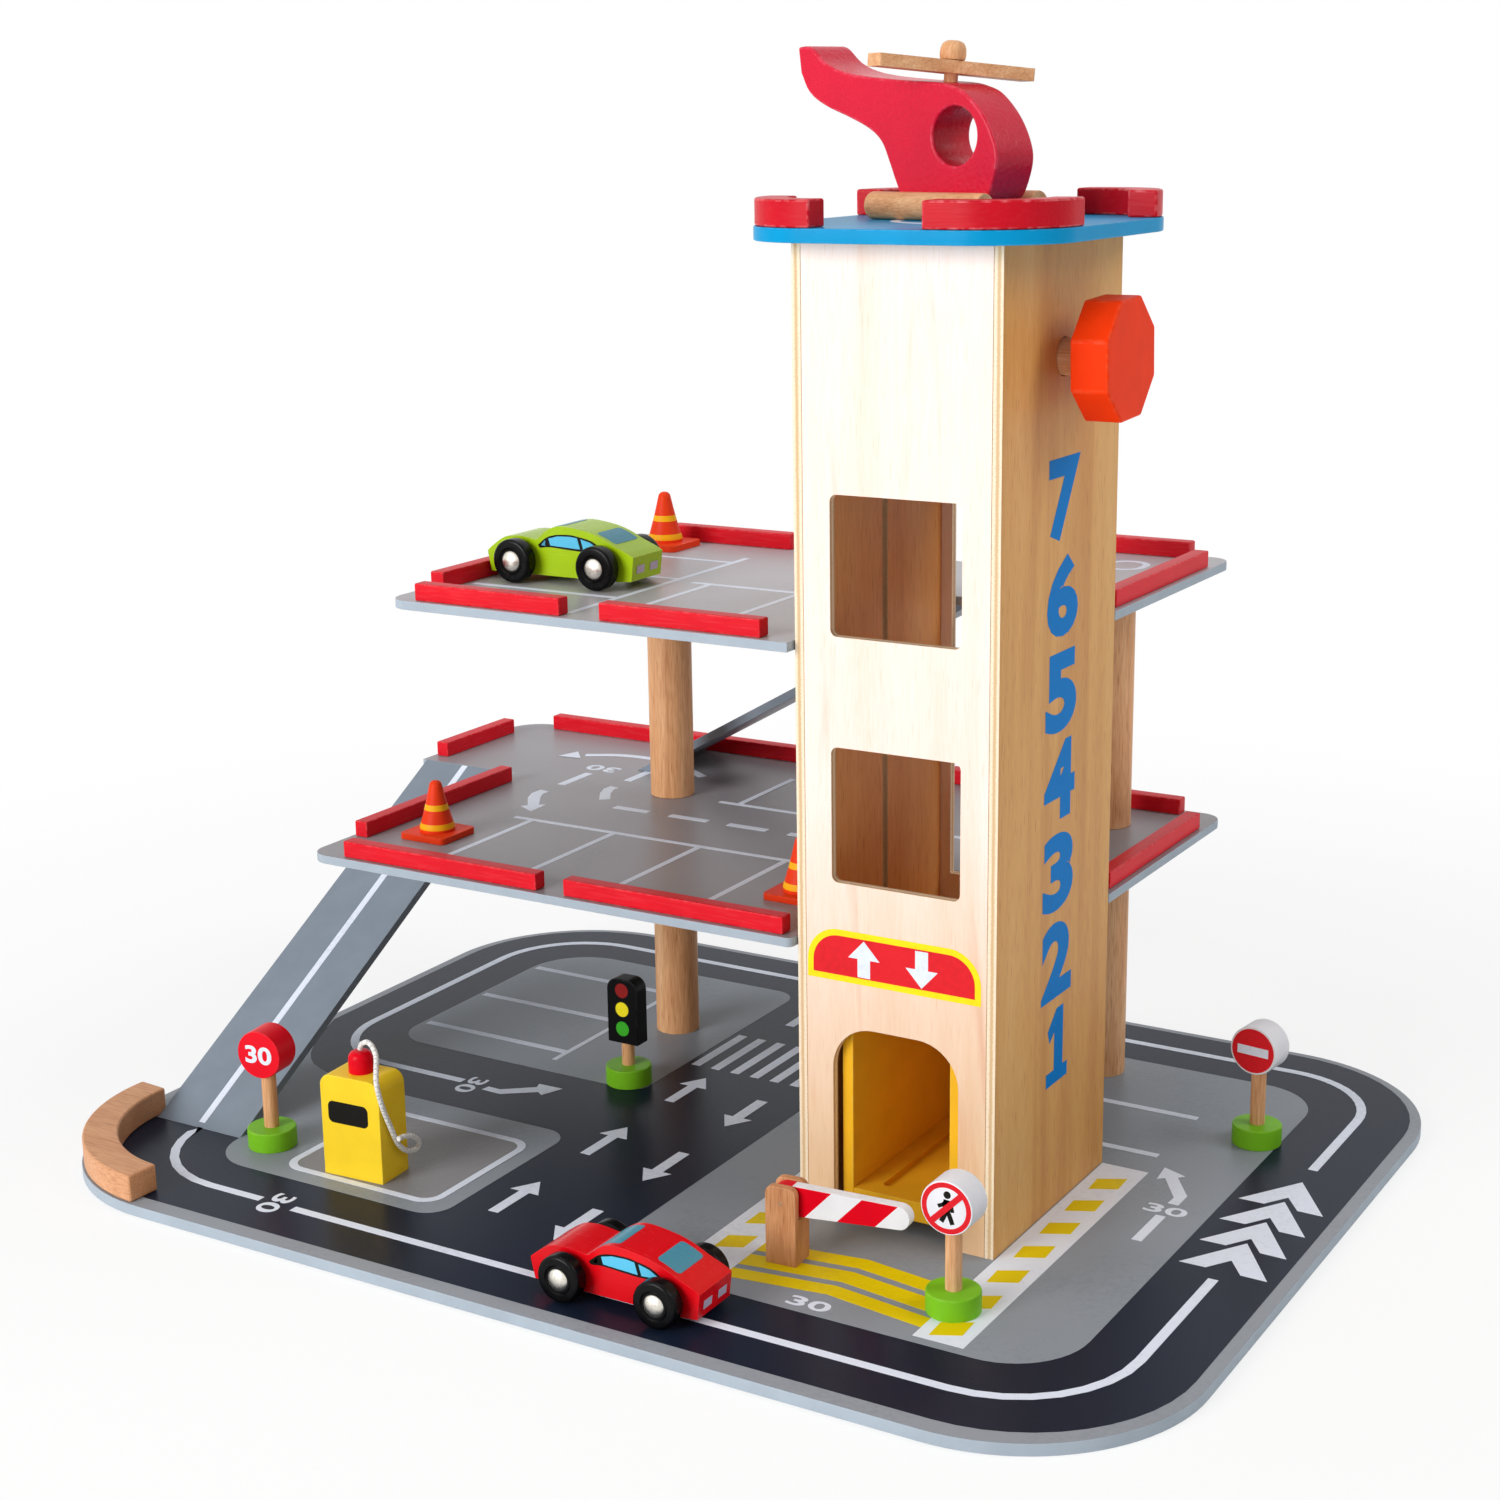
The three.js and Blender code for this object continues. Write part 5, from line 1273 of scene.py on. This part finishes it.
# %% The cars' outline
car_long, car_tall, car_wide = 77.1, 25.3, 23
car_roof = [
    (0, 0.423), (0.008, 0.498), (0.11, 0.715), (0.18, 0.767), (0.241, 0.771), (0.302, 0.751),
    (0.349, 0.743), (0.398, 0.866), (0.458, 0.968), (0.527, 1), (0.619, 0.976), (0.711, 0.929),
    (0.792, 0.85), (0.874, 0.735), (0.956, 0.636), (1, 0.565),
]
car_floor = [(0.984, 0.15), (0.9, 0.126), (0.333, 0.118), (0.022, 0.115)]
roof_line, floor_line = ([((x - 0.5) * car_long, z * car_tall, 0) for x, z in line]
                         for line in (car_roof, car_floor))
roof_line = through(roof_line, 4)
car_outline = [(p[0], p[1]) for p in (*roof_line, *floor_line)]
axle_height = 9.6
axles = {"front": (0.237 - 0.5) * car_long, "rear": (0.802 - 0.5) * car_long}


def roof_height(x):
    """How high the roof line is at a place along the car."""
    near, far = next(pair for pair in zip(roof_line, roof_line[1:]) if pair[0].x <= x <= pair[1].x)
    return near.y + (far.y - near.y) * (x - near.x) / (far.x - near.x)


def curved_pane(x0, x1, corner):
    """A thin sheet with round corners, laid on the roof's curve."""
    x0, x1 = x0 - car_long / 2, x1 - car_long / 2
    bm = sheet([rectangle(x0, x1, -8.8, 8.8, corner)], 0.4, 6)
    for p in roof_line:
        if x0 < p.x < x1:
            cut_across(bm, (p.x, 0, 0), (1, 0, 0))
    for v in bm.verts:
        v.co.z += roof_height(v.co.x) - 0.25
    return bm


# The side window: its black outline, a smooth loop, and the three panes between the pillars
window_places = [(27.4, 16.3), (31.9, 19.8), (37.5, 21.4), (44.4, 21.8), (48.6, 21.3), (55.4, 20.0),
                 (60.2, 17.2), (58.1, 15.6), (48.9, 15.0), (33.8, 15.7), (28.6, 15.1)]
panes = [
    [(29.1, 16.4), (31.3, 18.7), (31.2, 16.1)],
    [(33.1, 19.5), (38.0, 20.8), (44.4, 21.1), (48.3, 20.7), (49.7, 15.9), (34.0, 16.5)],
    [(50.1, 20.4), (54.9, 19.3), (58.9, 17.1), (57.5, 16.4), (51.4, 15.9)],
]
window_loop, *panes = ([(x - car_long / 2, z) for x, z in loop] for loop in (window_places, *panes))
smooth_loop = [(p.x, p.y) for p in through([(*p, 0) for p in window_loop + window_loop[:1]], 3)][:-1]
print("car outline of", len(car_outline), "points")

# %% Wheels
tyre_profile = [
    (4.6, 6.1), (5.3, 6.1), (5.6, 5.85), (5.85, 6.1), (6.1, 6.5), (8.2, 6.5), (8.9, 6.3), (9.35, 5.9),
    (9.6, 5.3), (9.6, 1.2), (9.3, 0.5), (8.6, 0), (1.8, 0), (1.8, 6.1), (4.6, 6.1),
]
hub_profile = [(0, 7.7), (1.2, 7.65), (2.4, 7.45), (3.5, 7.05), (4.3, 6.5), (4.6, 6.0), (4.6, 5.4), (0, 5.4)]


def wheel_pair(name, body, solid, place):
    """Two tyres, two steel hubs and their axle, each a separate piece of the pair."""
    for side, turn in (("near", math.pi / 2), ("far", -math.pi / 2)):
        lay = place @ Matrix.Rotation(turn, 4, "X") @ at(0, 0, 13.5)
        piece(f"{name}_{side}_tyre", turned(tyre_profile, 64), tyre_black,
              solid if side == "near" else "", lay, body)
        piece(f"{name}_{side}_hub", turned(hub_profile, 40), hub_steel, place=lay, body=body)
    piece(f"{name}_axle", rod(1.75, 27.2, 0.1, 24), hub_steel,
          place=place @ at(0, 13.6, 0) @ FACING, body=body)


# %% Two cars
# The tail leans: its plates lie on the line from the roof's end to the floor's first corner
lean_back = math.atan((1 - 0.984) * car_long / ((0.565 - 0.15) * car_tall))
tail_turn = at(0.476 * car_long + 0.3, 0, 0) @ Matrix.Rotation(lean_back, 4, "Y") @ SIDEWAYS
# The far flank's windows are the near one's, turned about and mirrored along the car
other_flank = Matrix.Rotation(math.pi, 4, "Z") @ Matrix.Scale(-1, 4, (1, 0, 0))
for name, paint in (("red", car_red), ("green", car_green)):
    car, body = f"car_{name}", f"{name}_car"
    low, high = size(f"{car}_body")
    place = at((low.x + high.x) / 2, (low.y + high.y) / 2, size(f"{car}_front_wheels")[0].z)
    holes = [circle(2.15, x, axle_height, 24) for x in axles.values()]
    block_bm = soften(sheet([car_outline, *holes], car_wide, 4), 1.3, 3, 50)
    piece(f"{car}_block", block_bm, paint, f"{car}_body", place @ at(0, car_wide / 2, 0) @ FACING, body)
    for side, turned_about in (("near", Matrix.Identity(4)), ("far", other_flank)):
        for pane, loops, material, layer in (("outline", [smooth_loop], black_ink, 0),
                                             ("glass", panes, glass_ink, 1)):
            window = bmesh.new()
            for loop in loops:
                sheet([loop], INK, 4, window)
            flank = at(0, -car_wide / 2 - layer * INK + SUNK, 0) @ FACING
            for step in (flank, place @ turned_about):
                bmesh.ops.transform(window, matrix=step, verts=window.verts)
            bmesh.ops.recalc_face_normals(window, faces=window.faces)
            piece(f"{car}_window_{pane}_{side}", window, material, body=body)
    for pane, x0, x1, corner in (("windscreen", 27, 40.2, 1), ("rear_window", 56.6, 66.6, 1.6)):
        piece(f"{car}_{pane}", curved_pane(x0, x1, corner), screen_ink, place=place, body=body)
    tail = bmesh.new()
    for y in (-5.2, 5.2):
        sheet([rectangle(y - 2.9, y + 2.9, 6.9, 10.4)], INK, 4, tail)
    piece(f"{car}_tail_plates", tail, plate_ink, place=place @ tail_turn, body=body)
    for end, x in axles.items():
        wheel_pair(f"{car}_{end}", f"{name}_{end}_wheels", f"{car}_{end}_wheels",
                   place @ at(x, 0, axle_height))

# %% [markdown]
# ## Floor, backdrop and light
# A pale floor keeps the object's shadow, and turns to plain white further out, as the paper in a
# studio does. One broad soft lamp stands at the front left, a weak one hangs above and another
# stands high at the right, so the fronts are bright, and the tops and right sides a little less.

# %% Floor and world
def seen_directly(tree):
    """1 for the rays that should meet plain white: from the camera, off gloss and through glass."""
    ray = node(tree, "LightPath").outputs
    seen = node(tree, "Math", {0: ray["Is Camera Ray"], 1: ray["Is Glossy Ray"]}, operation="MAXIMUM")
    return node(tree, "Math", {0: seen, 1: ray["Is Transmission Ray"]}, operation="MAXIMUM")


ground = bmesh.new()
bmesh.ops.create_circle(ground, cap_ends=True, segments=96, radius=8)
floor = bpy.data.objects.new("floor", bpy.data.meshes.new("floor"))
ground.to_mesh(floor.data)
ground.free()
scene.collection.objects.link(floor)
paper, tree = new_finish("white_studio_paper", base_color=colour(WHITE), roughness=0.9)
distance = node(tree, "VectorMath", {0: node(tree, "TexCoord").outputs["Object"]}, operation="LENGTH")
away = node(tree, "MapRange", {"Value": distance, "From Min": 0.35, "From Max": 0.8, "To Min": 0.72})
white_share = node(tree, "Math", {0: seen_directly(tree), 1: away}, operation="MULTIPLY")
glow = node(tree, "Emission", {"Color": colour(WHITE), "Strength": 1.0})
blend = node(tree, "MixShader", {0: white_share, 1: tree.nodes["Principled BSDF"], 2: glow})
tree.links.new(blend.outputs["Shader"], tree.nodes["Material Output"].inputs["Surface"])
floor.data.materials.append(paper)

world = bpy.data.worlds.new("studio")
scene.world = world
world.use_nodes = True
tree = world.node_tree
tree.nodes.clear()
lit, plain = (node(tree, "Background", {"Color": colour(WHITE), "Strength": power}) for power in (0.3, 1.0))
mixed = node(tree, "MixShader", {0: seen_directly(tree), 1: lit, 2: plain})
node(tree, "OutputWorld", {"Surface": mixed})
print("floor and world ready")

# %% Lamps
for name, place, height, width, power in (
    ("front_lamp", (-0.9, -2.5, 1.0), 0.15, 1.4, 62), ("top_lamp", (-0.3, 0.3, 2.6), 0.2, 1.6, 12),
    ("right_lamp", (1.9, 0.6, 1.9), 0.2, 1.3, 20),
):
    data = bpy.data.lights.new(name, "AREA")
    data.size, data.energy = width, power
    lamp = bpy.data.objects.new(name, data)
    # Each is aimed at a point above the middle of the board
    way = Vector(place) - Vector((0, 0, height))
    lamp.matrix_world = Matrix.Translation(place) @ way.to_track_quat("Z", "Y").to_matrix().to_4x4()
    scene.collection.objects.link(lamp)
    print(f"{name}: {power} W")
scene.view_settings.view_transform = "Standard"
